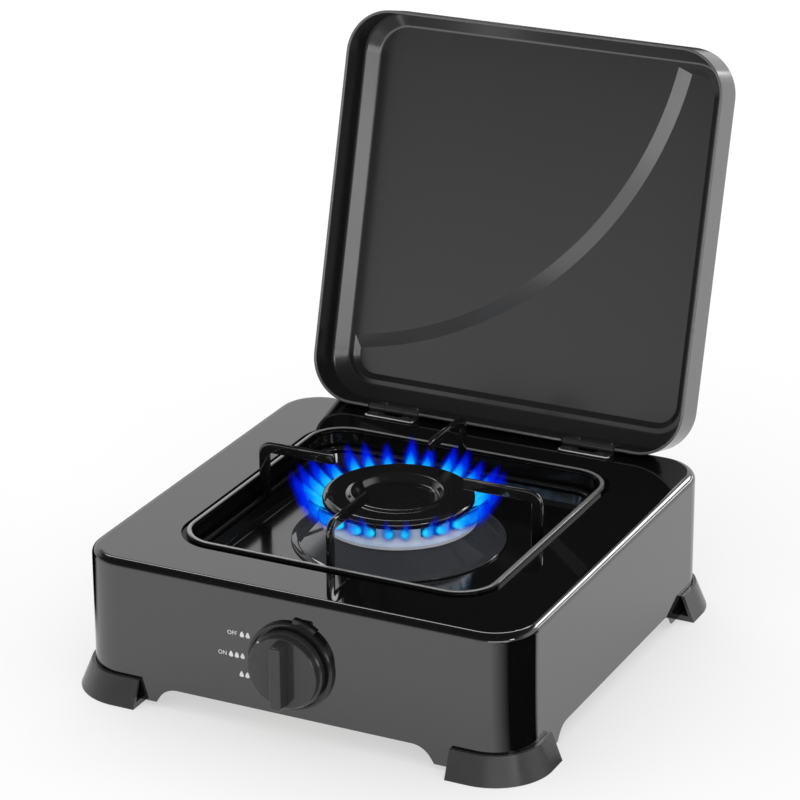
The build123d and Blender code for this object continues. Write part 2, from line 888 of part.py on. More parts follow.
def valve_body():
    body = rod(valve_radius, valve_face, valve_back)
    boss = Plane((0, inlet_boss_y, control_height), x_dir=(0, 1, 0), z_dir=(-1, 0, 0))
    body += boss * extrude(Circle(inlet_boss_radius), inlet_boss_reach)
    bore_front = plug_front_radius + plug_clearance
    bore_back = plug_back_radius + plug_clearance
    body -= cone_rod(bore_front, bore_back, valve_face, plug_back + plug_end_gap)
    body -= rod(gas_bore_radius, plug_back, valve_back)
    body -= rod(injector_thread_radius, valve_back - injector_thread_length, valve_back)
    body -= boss * extrude(Circle(gas_bore_radius), inlet_boss_reach)
    seat = Plane((-inlet_boss_reach, inlet_boss_y, control_height), x_dir=(0, 1, 0), z_dir=(1, 0, 0))
    body -= seat * extrude(Circle(pipe_radius), pipe_in_boss)
    for x in (-valve_cover_screw_spacing / 2, valve_cover_screw_spacing / 2):
        depth = cover_front + valve_cover_screw_length
        body -= along_y(valve_cover_screw_radius, valve_face, depth, x, control_height)
    return body


def valve_plug():
    plug = cone_rod(plug_front_radius, plug_back_radius, plug_face, plug_back)
    grow = spindle_clearance
    deep = plug_face + spindle_in_plug + knob_push + knob_gap
    plug -= flat_rod(spindle_radius + grow, spindle_flat + grow, plug_face, deep)
    port = Plane((-plug_front_radius, inlet_boss_y, control_height), x_dir=(0, 1, 0), z_dir=(1, 0, 0))
    plug -= port * extrude(Circle(plug_port_radius), plug_front_radius)
    plug -= rod(plug_port_radius, inlet_boss_y, plug_back)
    return plug


def valve_spindle():
    start = knob_back - spindle_in_knob
    spindle = flat_rod(spindle_radius, spindle_flat, start, plug_face + spindle_in_plug)
    collar_back = cover_front - spring_length
    spindle += rod(spindle_collar_radius, collar_back - spindle_collar_thickness, collar_back)
    return spindle


def spindle_spring():
    start = cover_front - spring_length + spring_wire_radius
    length = spring_length - 2 * spring_wire_radius
    path = Helix(pitch=length / spring_turns, height=length, radius=spring_radius)
    begin = Plane(path @ 0, z_dir=path % 0)
    coil = sweep(begin * Circle(spring_wire_radius), path=path, is_frenet=True)
    place = Plane((0, start, control_height), x_dir=(1, 0, 0), z_dir=(0, 1, 0))
    return place * coil


def injector():
    jet = rod(injector_thread_radius, valve_back - injector_thread_length, valve_back + bracket_thickness)
    hex_front = valve_back + bracket_thickness
    plane = Plane((0, hex_front, control_height), x_dir=(1, 0, 0), z_dir=(0, 1, 0))
    jet += plane * extrude(RegularPolygon(injector_hex / 2, 6, major_radius=False), injector_hex_length)
    tip_start = hex_front + injector_hex_length
    jet += cone_rod(injector_tip_base_radius, injector_tip_radius, tip_start, injector_tip)
    start = valve_back - injector_thread_length - overshoot
    jet -= rod(injector_bore_radius, start, injector_tip + overshoot)
    return jet


# Bracket, mixing tube and gas line

def valve_bracket():
    middle = valve_back + bracket_thickness / 2
    width = 2 * bracket_half_width
    plate = Pos(0, middle, well_underside - bracket_drop / 2) * Box(width, bracket_thickness, bracket_drop)
    foot_middle = valve_back + bracket_foot_length / 2
    foot_level = well_underside - bracket_thickness / 2
    plate += Pos(0, foot_middle, foot_level) * Box(width, bracket_foot_length, bracket_thickness)
    plate -= rod(injector_thread_radius, valve_back - overshoot, valve_back + bracket_thickness + overshoot)
    for x, y in bracket_screw_points():
        plate -= upright(screw_radius + screw_clearance, well_underside - 2 * bracket_thickness, well_floor, x, y)
    return plate


def bracket_screws():
    seat = well_underside - bracket_thickness
    return group([screw_up(x, y, seat, seat + floor_screw_length) for x, y in bracket_screw_points()])


def mixing_tube():
    flange_bottom = well_underside - mixer_flange_thickness
    cup_bottom = control_height - mixer_radius - mixer_cup_wall
    start = injector_tip + mixer_start_gap
    tube = rod(mixer_radius, start, well_center_y)
    tube += upright(mixer_cup_radius, cup_bottom, well_underside, 0, well_center_y)
    tube += upright(mixer_flange_radius, flange_bottom, well_underside, 0, well_center_y)
    inner = burner_throat_radius + mixer_throat_clearance
    tube -= upright(inner, cup_bottom + mixer_cup_wall, well_floor, 0, well_center_y)
    tube -= rod(mixer_radius - mixer_wall, start - overshoot, well_center_y)
    for x, y in mixer_screw_points():
        tube -= upright(screw_radius + screw_clearance, flange_bottom - overshoot, well_floor, x, y)
    return tube


def burner_screws():
    seat = well_underside - mixer_flange_thickness
    return group([screw_up(x, y, seat, seat + floor_screw_length) for x, y in mixer_screw_points()])


def pipe_run(radius):
    """Round bar from the inlet forward, round one bend, to the boss of the valve."""
    rear_end = rear_face - sheet - nozzle_inside_length + nozzle_pipe_depth
    boss_end = -inlet_boss_reach + pipe_in_boss
    bend_y = inlet_boss_y + pipe_bend_radius
    bend_x = inlet_x + pipe_bend_radius
    straight = along_y(radius, bend_y, rear_end, inlet_x, control_height)
    section = Plane((inlet_x, bend_y, control_height), x_dir=(1, 0, 0), z_dir=(0, 1, 0))
    elbow_axis = Axis((bend_x, bend_y, control_height), (0, 0, 1))
    elbow = revolve(section * Circle(radius), elbow_axis, 90)
    across = Plane((bend_x, inlet_boss_y, control_height), x_dir=(0, 1, 0), z_dir=(1, 0, 0))
    return straight + elbow + across * extrude(Circle(radius), boss_end - bend_x)


def gas_pipe():
    return pipe_run(pipe_radius) - pipe_run(pipe_bore_radius)


def union_nut():
    start = -inlet_boss_reach
    plane = Plane((start, inlet_boss_y, control_height), x_dir=(0, 1, 0), z_dir=(-1, 0, 0))
    nut = plane * extrude(RegularPolygon(union_hex / 2, 6, major_radius=False), union_length)
    return nut - plane * extrude(Circle(pipe_radius), union_length)


def inlet_nozzle():
    inside = rear_face - sheet - nozzle_inside_length
    flange_end = rear_face + nozzle_flange_thickness
    tail_end = flange_end + nozzle_barb_count * nozzle_barb_length
    nozzle = along_y(nozzle_thread_radius, inside, rear_face, inlet_x, control_height)
    nozzle += along_y(nozzle_flange_radius, rear_face, flange_end, inlet_x, control_height)
    for i in range(nozzle_barb_count):
        start = flange_end + i * nozzle_barb_length
        slope = nozzle_barb_length - nozzle_barb_land
        middle = start + nozzle_barb_land + slope / 2
        nozzle += along_y(nozzle_barb_radius, start, start + nozzle_barb_land, inlet_x, control_height)
        plane = Plane((inlet_x, middle, control_height), x_dir=(1, 0, 0), z_dir=(0, 1, 0))
        nozzle += plane * Cone(nozzle_barb_radius, nozzle_neck_radius, slope)
    nozzle -= along_y(pipe_radius, inside, inside + nozzle_pipe_depth, inlet_x, control_height)
    nozzle -= along_y(pipe_bore_radius, inside, tail_end, inlet_x, control_height)
    return nozzle


def inlet_nut():
    start = rear_face - sheet - nut_thickness
    plane = Plane((inlet_x, start, control_height), x_dir=(1, 0, 0), z_dir=(0, 1, 0))
    nut = plane * extrude(RegularPolygon(nut_hex / 2, 6, major_radius=False), nut_thickness)
    return nut - plane * extrude(Circle(nozzle_thread_radius), nut_thickness)


def all_nodes():
    """Every node by name, round the middle of the body."""
    return {
        "body_shell": body_shell(),
        "foot_front_left": foot(-1, -1),
        "foot_front_right": foot(1, -1),
        "foot_rear_left": foot(-1, 1),
        "foot_rear_right": foot(1, 1),
        "foot_screws": foot_screws(),
        "lid_shell": lid_shell(),
        "hinge_body_leaf_left": hinge_body_leaf(-hinge_x),
        "hinge_body_leaf_right": hinge_body_leaf(hinge_x),
        "hinge_lid_leaf_left": hinge_lid_leaf(-hinge_x),
        "hinge_lid_leaf_right": hinge_lid_leaf(hinge_x),
        "hinge_pin_left": hinge_pin(-hinge_x),
        "hinge_pin_right": hinge_pin(hinge_x),
        "hinge_body_rivets": body_rivets(),
        "hinge_lid_rivets": lid_rivets(),
        "drip_cone": drip_cone(),
        "burner_base": burner_base(),
        "burner_cap": burner_cap(),
        "pan_frame": pan_frame(),
        "pan_arm_right": pan_arm(0),
        "pan_arm_rear": pan_arm(1),
        "pan_arm_left": pan_arm(2),
        "pan_arm_front": pan_arm(3),
        "knob_bezel": knob_bezel(),
        "knob": knob(),
        "valve_cover": valve_cover(),
        "valve_cover_screws": valve_cover_screws(),
        "valve_body": valve_body(),
        "valve_plug": valve_plug(),
        "valve_spindle": valve_spindle(),
        "spindle_spring": spindle_spring(),
        "injector": injector(),
        "valve_bracket": valve_bracket(),
        "bracket_screws": bracket_screws(),
        "mixing_tube": mixing_tube(),
        "burner_screws": burner_screws(),
        "gas_pipe": gas_pipe(),
        "union_nut": union_nut(),
        "inlet_nozzle": inlet_nozzle(),
        "inlet_nut": inlet_nut(),
    }


def main():
    os.makedirs("parts", exist_ok=True)
    nodes = all_nodes()
    boxes = [shape.bounding_box() for shape in nodes.values()]
    front = min(box.min.Y for box in boxes)
    rear = max(box.max.Y for box in boxes)
    shift = -(front + rear) / 2
    print("moved along Y by", round(shift, 4))
    for name, shape in nodes.items():
        export_step(Pos(0, shift, 0) * shape, os.path.join("parts", name + ".step"))


main()
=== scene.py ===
# %% [markdown]
# # A camping stove, dressed for its photograph
# The solids of the stove come in ready made as a fixed frame, in metres, with +Z up and the
# knob towards -Y. This lesson gives every solid a finish, draws some of them again with softer
# edges, adds the small things that the solids leave out (a rolled hem, painted highlights along
# the hinge edges, printed marks, flames), and sets up light and camera.

# %% Load the frame
import json

import bpy
import numpy as np
from mathutils import Matrix, Vector


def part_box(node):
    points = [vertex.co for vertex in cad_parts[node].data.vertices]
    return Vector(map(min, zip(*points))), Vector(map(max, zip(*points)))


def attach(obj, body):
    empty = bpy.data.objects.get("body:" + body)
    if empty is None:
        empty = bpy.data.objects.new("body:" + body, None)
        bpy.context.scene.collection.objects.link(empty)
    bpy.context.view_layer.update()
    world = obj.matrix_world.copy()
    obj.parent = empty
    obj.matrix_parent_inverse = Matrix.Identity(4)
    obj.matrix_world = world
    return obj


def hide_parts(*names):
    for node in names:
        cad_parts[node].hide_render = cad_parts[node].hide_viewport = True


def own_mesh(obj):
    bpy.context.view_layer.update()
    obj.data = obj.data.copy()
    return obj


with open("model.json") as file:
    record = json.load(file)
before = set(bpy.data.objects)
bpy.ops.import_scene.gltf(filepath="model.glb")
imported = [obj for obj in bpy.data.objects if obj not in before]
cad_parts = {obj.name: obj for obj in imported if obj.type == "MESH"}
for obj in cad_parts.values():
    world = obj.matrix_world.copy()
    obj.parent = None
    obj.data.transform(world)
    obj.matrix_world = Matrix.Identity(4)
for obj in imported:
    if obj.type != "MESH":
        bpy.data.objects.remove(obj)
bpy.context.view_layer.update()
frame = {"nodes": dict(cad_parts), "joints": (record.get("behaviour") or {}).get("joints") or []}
nodes = frame["nodes"]

# %% [markdown]
# ## Camera
# The photograph was taken from the front right and a little above, through a long lens. The
# lens and place were worked out from the outlines of the body, the lid and the well, so we
# only have to write them down: how far round, how far up, how far away, and what point the
# lens looks at. A long lens keeps the edges of the box nearly parallel.

# %% Place the camera
PHOTO_PIXELS = 800
FOCAL_PIXELS = 3507.55
SENSOR_MM = 36.0
FAR_CLIP = 60.0
VIEW_AZIMUTH = np.radians(26.18)
VIEW_ELEVATION = np.radians(21.79)
VIEW_ROLL = np.radians(-0.27)
VIEW_DISTANCE = 2.13283
VIEW_TARGET = np.array([-0.01963, 0.01066, 0.14086])

back = np.array([
    np.sin(VIEW_AZIMUTH) * np.cos(VIEW_ELEVATION),
    -np.cos(VIEW_AZIMUTH) * np.cos(VIEW_ELEVATION),
    np.sin(VIEW_ELEVATION),
])
level = np.array([np.cos(VIEW_AZIMUTH), np.sin(VIEW_AZIMUTH), 0.0])
rise = np.cross(back, level)
right = np.cos(VIEW_ROLL) * level + np.sin(VIEW_ROLL) * rise
upward = np.cross(back, right)
place = np.eye(4)
place[:3, 0], place[:3, 1], place[:3, 2] = right, upward, back
place[:3, 3] = VIEW_TARGET + VIEW_DISTANCE * back

lens = bpy.data.cameras.new("photo_camera")
lens.sensor_width = SENSOR_MM
lens.lens = FOCAL_PIXELS * SENSOR_MM / PHOTO_PIXELS
lens.clip_end = FAR_CLIP
camera = bpy.data.objects.new("photo_camera", lens)
camera.matrix_world = Matrix(place.tolist())
scene = bpy.context.scene
scene.collection.objects.link(camera)
scene.camera = camera
print("lens", round(lens.lens, 1), "mm")

# %% [markdown]
# ## A small kit for surfaces
# Every piece we add is a surface computed as a whole array: a grid of points, rows by
# columns, whose faces join neighbours. Rows or columns that close on themselves share their
# first and last edge, so no seam is left open.

# %% Grids to meshes


def grid_faces(rows, columns, close_rows, close_columns):
    """Quads between neighbours of a grid; a closed direction wraps round to its start."""
    r = np.arange(rows if close_rows else rows - 1)
    c = np.arange(columns if close_columns else columns - 1)
    r, c = np.meshgrid(r, c, indexing="ij")
    r2, c2 = (r + 1) % rows, (c + 1) % columns
    corners = [r * columns + c, r * columns + c2, r2 * columns + c2, r2 * columns + c]
    return np.stack(corners, -1).reshape(-1, 4)


def new_piece(name, points, faces, material, body, smooth=True):
    """Put arrays of points and faces into a mesh object that rides on a body."""
    mesh = bpy.data.meshes.new(name)
    places = np.asarray(points).reshape(-1, 3).tolist()
    mesh.from_pydata(places, [], [list(map(int, f)) for f in faces])
    mesh.polygons.foreach_set("use_smooth", np.full(len(mesh.polygons), smooth))
    mesh.materials.append(material)
    mesh.update()
    piece = bpy.data.objects.new(name, mesh)
    scene.collection.objects.link(piece)
    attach(piece, body)
    return piece


# %% [markdown]
# ## Studio
# The photograph stands on pure white. A white floor and a white surround do most of the
# lighting, so a colour renders about as it is written. Glossy black shows only what it
# mirrors: pale floor below, pale wall behind, and a dark ceiling that draws the black lines
# along the upper edges. A photographer lays dark cards beside a glossy box to give its corners
# clean black lines, and we let mirrors see two. Five soft panels add the bright streaks; some
# of them are there for mirrors only.

# %% Floor and surround
WHITE, BLACK = (1.0, 1.0, 1.0, 1.0), (0.0, 0.0, 0.0, 1.0)
FLOOR_WHITE = (0.92, 0.92, 0.92, 1.0)
FLOOR_LIFT = 0.55
FLOOR_REACH = 12.0
STEPS_BEHIND = [(0.0, 1.0), (0.45, 0.95), (0.62, 0.10), (1.0, 0.04)]
STEPS_BEFORE = [(0.0, 0.66), (0.12, 0.55), (0.28, 0.06), (1.0, 0.03)]
BEFORE_Y, BEHIND_Y = -0.25, 0.35
CARD_CENTRE = (0.13, -0.15)
CARD_FROM, CARD_TO = np.radians(-58.0), np.radians(50.0)
CARD_FROM_BLUR, CARD_TO_BLUR = np.radians(22.0), np.radians(4.0)
LEFT_CARD_X, LEFT_CARD_Y, LEFT_CARD_BLUR = -0.32, 0.0, 0.04


def remap(group, value, low, high, to_low, to_high):
    """Stretch a value from one range to another; ends may be numbers or sockets."""
    node = group.nodes.new("ShaderNodeMapRange")
    group.links.new(value, node.inputs["Value"])
    ends = {"From Min": low, "From Max": high, "To Min": to_low, "To Max": to_high}
    for label, end in ends.items():
        if isinstance(end, (int, float)):
            node.inputs[label].default_value = end
        else:
            group.links.new(end, node.inputs[label])
    return node.outputs["Result"]


def tint(group, mask, first, second):
    """Mix two colours by a mask."""
    node = group.nodes.new("ShaderNodeMix")
    node.data_type = "RGBA"
    group.links.new(mask, node.inputs["Factor"])
    for label, colour in (("A", first), ("B", second)):
        socket = [s for s in node.inputs if s.name == label and s.type == "RGBA"][0]
        if isinstance(colour, tuple):
            socket.default_value = colour
        else:
            group.links.new(colour, socket)
    return [s for s in node.outputs if s.type == "RGBA"][0]


def combine(tree, operation, first, second):
    """Math node on two sockets or numbers."""
    node = tree.nodes.new("ShaderNodeMath")
    node.operation = operation
    for socket, value in zip(node.inputs, (first, second)):
        if isinstance(value, (int, float)):
            socket.default_value = value
        else:
            tree.links.new(value, socket)
    return node.outputs[0]


def grey(value):
    """Grey colour of one brightness."""
    return (value, value, value, 1.0)


def ramp(tree, value, steps):
    """Colour ramp through (position, colour) steps, driven by a value."""
    node = tree.nodes.new("ShaderNodeValToRGB")
    ends = node.color_ramp.elements
    ends[0].position, ends[0].color = steps[0]
    ends[1].position, ends[1].color = steps[-1]
    for at, colour in steps[1:-1]:
        ends.new(at).color = colour
    tree.links.new(value, node.inputs[0])
    return node


def ladder(tree, value, steps):
    """Grey ramp through (position, brightness) steps."""
    return ramp(tree, value, [(at, grey(bright)) for at, bright in steps]).outputs["Color"]


def axes(tree, output):
    """The x, y and z of a texture coordinate, such as Object or Normal."""
    split = tree.nodes.new("ShaderNodeSeparateXYZ")
    tree.links.new(tree.nodes.new("ShaderNodeTexCoord").outputs[output], split.inputs[0])
    return [split.outputs[axis] for axis in "XYZ"]


def studio_world():
    """White light all round; mirrors see it pale behind the stove, dim ahead, dark above."""
    world = bpy.data.worlds.new("studio")
    scene.world = world
    world.use_nodes = True
    tree = world.node_tree
    tree.nodes.clear()
    out = tree.nodes.new("ShaderNodeOutputWorld")
    plain = tree.nodes.new("ShaderNodeBackground")
    mirrored = tree.nodes.new("ShaderNodeBackground")
    mix = tree.nodes.new("ShaderNodeMixShader")
    path = tree.nodes.new("ShaderNodeLightPath")
    _, y, z = axes(tree, "Generated")
    behind, before = ladder(tree, z, STEPS_BEHIND), ladder(tree, z, STEPS_BEFORE)
    side = tree.nodes.new("ShaderNodeMapRange")
    side.interpolation_type = "SMOOTHSTEP"
    side.inputs["From Min"].default_value = BEFORE_Y
    side.inputs["From Max"].default_value = BEHIND_Y
    tree.links.new(y, side.inputs["Value"])
    tree.links.new(tint(tree, side.outputs["Result"], before, behind), mirrored.inputs["Color"])
    plain.inputs["Color"].default_value = WHITE
    tree.links.new(path.outputs["Is Glossy Ray"], mix.inputs[0])
    tree.links.new(plain.outputs[0], mix.inputs[1])
    tree.links.new(mirrored.outputs[0], mix.inputs[2])
    tree.links.new(mix.outputs[0], out.inputs["Surface"])
    return world


def floor_material():
    """Matt white floor, lifted towards white; mirrors see a dark card on each side."""
    material = bpy.data.materials.new("white_floor")
    material.use_nodes = True
    tree = material.node_tree
    tree.nodes.clear()
    out = tree.nodes.new("ShaderNodeOutputMaterial")
    matt = tree.nodes.new("ShaderNodeBsdfDiffuse")
    glow = tree.nodes.new("ShaderNodeEmission")
    mix = tree.nodes.new("ShaderNodeMixShader")
    path = tree.nodes.new("ShaderNodeLightPath")
    x, y, _ = axes(tree, "Object")
    x = combine(tree, "SUBTRACT", x, CARD_CENTRE[0])
    y = combine(tree, "SUBTRACT", y, CARD_CENTRE[1])
    angle = combine(tree, "ARCTAN2", y, x)
    start = remap(tree, angle, CARD_FROM - CARD_FROM_BLUR, CARD_FROM + CARD_FROM_BLUR, 0.0, 1.0)
    end = remap(tree, angle, CARD_TO - CARD_TO_BLUR, CARD_TO + CARD_TO_BLUR, 1.0, 0.0)
    right_card = combine(tree, "MULTIPLY", start, end)
    beside = remap(tree, x, LEFT_CARD_X - LEFT_CARD_BLUR, LEFT_CARD_X, 1.0, 0.0)
    behind = remap(tree, y, LEFT_CARD_Y, LEFT_CARD_Y + LEFT_CARD_BLUR, 0.0, 1.0)
    cards = combine(tree, "MAXIMUM", right_card, combine(tree, "MULTIPLY", beside, behind))
    seen = combine(tree, "MULTIPLY", cards, path.outputs["Is Glossy Ray"])
    tree.links.new(tint(tree, seen, WHITE, BLACK), glow.inputs["Color"])
    tree.links.new(tint(tree, seen, FLOOR_WHITE, BLACK), matt.inputs["Color"])
    mix.inputs[0].default_value = FLOOR_LIFT
    tree.links.new(matt.outputs[0], mix.inputs[1])
    tree.links.new(glow.outputs[0], mix.inputs[2])
    tree.links.new(mix.outputs[0], out.inputs["Surface"])
    return material


def soft_panel(name, place, aim, width, height, power, mirrors_only=False):
    """Rectangular lamp at a place, turned to face a point."""
    lamp = bpy.data.lights.new(name, "AREA")
    lamp.shape = "RECTANGLE"
    lamp.size, lamp.size_y, lamp.energy = width, height, power
    panel = bpy.data.objects.new(name, lamp)
    panel.location = place
    panel.rotation_euler = (Vector(aim) - Vector(place)).to_track_quat("-Z", "Y").to_euler()
    panel.visible_camera = False
    panel.visible_diffuse = not mirrors_only
    scene.collection.objects.link(panel)
    return panel


studio_world()
floor_corners = FLOOR_REACH * np.array([(-1, -1, 0), (1, -1, 0), (1, 1, 0), (-1, 1, 0)])
floor_mesh = bpy.data.meshes.new("studio_floor")
floor_mesh.from_pydata(floor_corners.tolist(), [], [(0, 1, 2, 3)])
floor_mesh.materials.append(floor_material())
studio_floor = bpy.data.objects.new("studio_floor", floor_mesh)
scene.collection.objects.link(studio_floor)
AIM = (0.0, 0.05, 0.15)
soft_panel("panel_front", (1.7, -2.5, 0.45), AIM, 2.7, 0.8, 12.0)
soft_panel("panel_low", (1.25, 2.6, 0.55), AIM, 1.4, 0.10, 5.0, mirrors_only=True)
soft_panel("panel_high", (1.10, 2.5, 1.40), AIM, 1.4, 0.45, 20.0, mirrors_only=True)
soft_panel("panel_corner", (2.55, -1.23, 1.05), AIM, 0.5, 0.5, 6.0, mirrors_only=True)
soft_panel("panel_left", (-1.0, 1.9, 2.3), AIM, 2.6, 0.4, 14.0)
scene.view_settings.view_transform = "Standard"
print("studio ready")

# %% [markdown]
# ## Finishes
# Most of the stove is black, so the finishes differ in gloss and in fine relief rather than
# in colour. Three shared effects are node groups: the slow ripple and faint dust of fired
# enamel, the fine grain of moulded plastic, and the brushed or cast texture of bare metal.
# Each group gives a colour, a roughness and a height; the shader stays in the material.

# %% Shared effects


def start_group(name, colours, numbers, vectors=()):
    """New shader node group; it always gives a colour, a roughness and a height."""
    group = bpy.data.node_groups.new(name, "ShaderNodeTree")
    kinds = (("Color", colours), ("Float", numbers), ("Vector", vectors))
    for kind, labels in kinds:
        for label in labels:
            group.interface.new_socket(label, in_out="INPUT", socket_type="NodeSocket" + kind)
    for label, kind in (("Colour", "Color"), ("Roughness", "Float"), ("Height", "Float")):
        group.interface.new_socket(label, in_out="OUTPUT", socket_type="NodeSocket" + kind)
    source = group.nodes.new("NodeGroupInput").outputs
    target = group.nodes.new("NodeGroupOutput").inputs
    return group, source, target


def noise(group, vector, scale, detail=2.0):
    """Noise texture on a vector, one value out; the scale may be a number or a socket."""
    node = group.nodes.new("ShaderNodeTexNoise")
    node.inputs["Detail"].default_value = detail
    group.links.new(vector, node.inputs["Vector"])
    if isinstance(scale, (int, float)):
        node.inputs["Scale"].default_value = scale
    else:
        group.links.new(scale, node.inputs["Scale"])
    return node.outputs["Fac"]


def give(group, target, colour, roughness, height):
    """Join the three results to the group's outputs."""
    for label, value in (("Colour", colour), ("Roughness", roughness), ("Height", height)):
        group.links.new(value, target[label])


def enamel_group():
    """Fired enamel: long ripples, a fine orange peel, and a few dull dust specks."""
    colours, numbers = ("Colour", "Dust"), ("Gloss roughness", "Dull roughness")
    group, source, target = start_group("fired_enamel", colours, numbers)
    where = group.nodes.new("ShaderNodeTexCoord").outputs["Object"]
    ripple, peel = noise(group, where, 28.0, 1.0), noise(group, where, 420.0, 1.0)
    cloud, speck = noise(group, where, 9.0, 4.0), noise(group, where, 900.0, 0.0)
    mask = remap(group, speck, 0.74, 0.80, 0.0, 1.0)
    colour = tint(group, mask, source["Colour"], source["Dust"])
    rough = remap(group, cloud, 0.35, 0.75, source["Gloss roughness"], source["Dull roughness"])
    height = combine(group, "ADD", combine(group, "MULTIPLY", peel, 0.12), ripple)
    give(group, target, colour, rough, height)
    return group


def plastic_group():
    """Moulded plastic: close grain in the relief and a slight mottling of the gloss."""
    colours, numbers = ("Colour", "Worn"), ("Grain scale", "Smooth", "Rough")
    group, source, target = start_group("moulded_grain", colours, numbers)
    where = group.nodes.new("ShaderNodeTexCoord").outputs["Object"]
    grain = noise(group, where, source["Grain scale"], 1.0)
    cloud = noise(group, where, 60.0, 3.0)
    colour = tint(group, cloud, source["Colour"], source["Worn"])
    rough = remap(group, cloud, 0.3, 0.7, source["Smooth"], source["Rough"])
    give(group, target, colour, rough, grain)
    return group


def metal_group():
    """Bare metal: streaks along one direction over a cloudy tarnish."""
    colours, numbers = ("Colour", "Tarnish"), ("Bright", "Dull")
    group, source, target = start_group("bare_metal", colours, numbers, ("Stretch",))
    where = group.nodes.new("ShaderNodeTexCoord").outputs["Object"]
    stretch = group.nodes.new("ShaderNodeVectorMath")
    stretch.operation = "MULTIPLY"
    group.links.new(where, stretch.inputs[0])
    group.links.new(source["Stretch"], stretch.inputs[1])
    streak = noise(group, stretch.outputs[0], 1.0)
    cloud = noise(group, where, 70.0, 4.0)
    mask = remap(group, cloud, 0.35, 0.75, 0.0, 1.0)
    colour = tint(group, mask, source["Colour"], source["Tarnish"])
    rough = remap(group, streak, 0.2, 0.8, source["Bright"], source["Dull"])
    give(group, target, colour, rough, streak)
    return group


ENAMEL, PLASTIC, METAL = enamel_group(), plastic_group(), metal_group()
print("effects:", ENAMEL.name, PLASTIC.name, METAL.name)

# %% [markdown]
# A finish is a Principled shader fed by one of these groups. Values that are the same all
# over (metal or not, how much it mirrors, how deep the bump goes) are plain numbers beside it.

# %% Finishes by name


def finish(name, group, values, bump, depth, metallic=0.0, specular=0.5, ior=1.5):
    """Principled material whose colour, roughness and relief come from a shared group."""
    material = bpy.data.materials.new(name)
    material.use_nodes = True
    tree = material.node_tree
    shader = tree.nodes["Principled BSDF"]
    effect = tree.nodes.new("ShaderNodeGroup")
    effect.node_tree = group
    for label, value in values.items():
        effect.inputs[label].default_value = value
    relief = tree.nodes.new("ShaderNodeBump")
    relief.inputs["Strength"].default_value = bump
    relief.inputs["Distance"].default_value = depth
    tree.links.new(effect.outputs["Height"], relief.inputs["Height"])
    tree.links.new(relief.outputs["Normal"], shader.inputs["Normal"])
    tree.links.new(effect.outputs["Colour"], shader.inputs["Base Color"])
    tree.links.new(effect.outputs["Roughness"], shader.inputs["Roughness"])
    shader.inputs["Metallic"].default_value = metallic
    shader.inputs["Specular IOR Level"].default_value = specular
    shader.inputs["IOR"].default_value = ior
    return material


GLASSY_MIRROR, GLASSY_IOR = 0.9, 1.6


def enamel(name, tone, dust, gloss, dull, bump=0.03, depth=0.0003):
    """Enamel in two greys; gloss and dull are the ends of its roughness."""
    roughness = {"Gloss roughness": gloss, "Dull roughness": dull}
    values = {"Colour": grey(tone), "Dust": grey(dust), **roughness}
    return finish(name, ENAMEL, values, bump, depth, specular=GLASSY_MIRROR, ior=GLASSY_IOR)


def plastic(name, tone, worn, grain, smooth, rough, bump, depth=0.0001):
    """Plastic or paint in two greys; smooth and rough are the ends of its roughness."""
    roughness = {"Smooth": smooth, "Rough": rough}
    values = {"Colour": grey(tone), "Worn": grey(worn), "Grain scale": grain, **roughness}
    return finish(name, PLASTIC, values, bump, depth)


def metal(name, colour, tarnish, bright, dull, stretch, bump, metallic=1.0, depth=0.0001):
    """Metal in two colours; bright and dull are the ends of its roughness."""
    tones = {"Colour": (*colour, 1.0), "Tarnish": (*tarnish, 1.0)}
    values = {**tones, "Bright": bright, "Dull": dull, "Stretch": stretch}
    return finish(name, METAL, values, bump, depth, metallic=metallic)


body_enamel = enamel("body_enamel", 0.003, 0.012, 0.02, 0.05)
lid_enamel = enamel("lid_enamel", 0.012, 0.024, 0.16, 0.24)
# The hem's pale tone is a painted highlight along the lid's rim.
hem_painted_highlight = enamel("hem_painted_highlight", 0.10, 0.12, 0.22, 0.34)
cone_enamel = enamel("cone_enamel", 0.052, 0.062, 0.04, 0.09, bump=0.04)
cap_enamel = enamel("cap_enamel", 0.006, 0.02, 0.08, 0.16, bump=0.05)
bar_enamel = enamel("bar_enamel", 0.006, 0.02, 0.06, 0.12, bump=0.05)
hinge_paint = enamel("hinge_paint", 0.024, 0.04, 0.18, 0.28, bump=0.05, depth=0.0002)
foot_plastic = plastic("foot_plastic", 0.03, 0.04, 1400.0, 0.22, 0.32, bump=0.08, depth=0.0002)
knob_plastic = plastic("knob_plastic", 0.022, 0.032, 2200.0, 0.10, 0.16, bump=0.04)
bezel_plastic = plastic("bezel_plastic", 0.012, 0.02, 2400.0, 0.14, 0.24, bump=0.04)
mark_paint = plastic("mark_paint", 0.78, 0.62, 3000.0, 0.45, 0.6, bump=0.05)
burner_aluminium = metal(
    "burner_aluminium", (0.92, 0.93, 0.96), (0.72, 0.74, 0.82), 0.28, 0.44,
    stretch=(60.0, 60.0, 2200.0), bump=0.08, metallic=0.25, depth=0.0002,
)
# A pale finish for the painted highlights along the hinge edges.
painted_edge_highlight = metal(
    "painted_edge_highlight", (0.78, 0.78, 0.77), (0.6, 0.6, 0.58), 0.3, 0.45,
    stretch=(700.0, 90.0, 90.0), bump=0.05, metallic=0.3,
)
zinc_steel = metal(
    "zinc_steel", (0.62, 0.62, 0.6), (0.45, 0.44, 0.4), 0.3, 0.5,
    stretch=(90.0, 700.0, 90.0), bump=0.1,
)
turned_brass = metal(
    "turned_brass", (0.78, 0.57, 0.24), (0.5, 0.34, 0.13), 0.24, 0.42,
    stretch=(80.0, 1500.0, 80.0), bump=0.08,
)
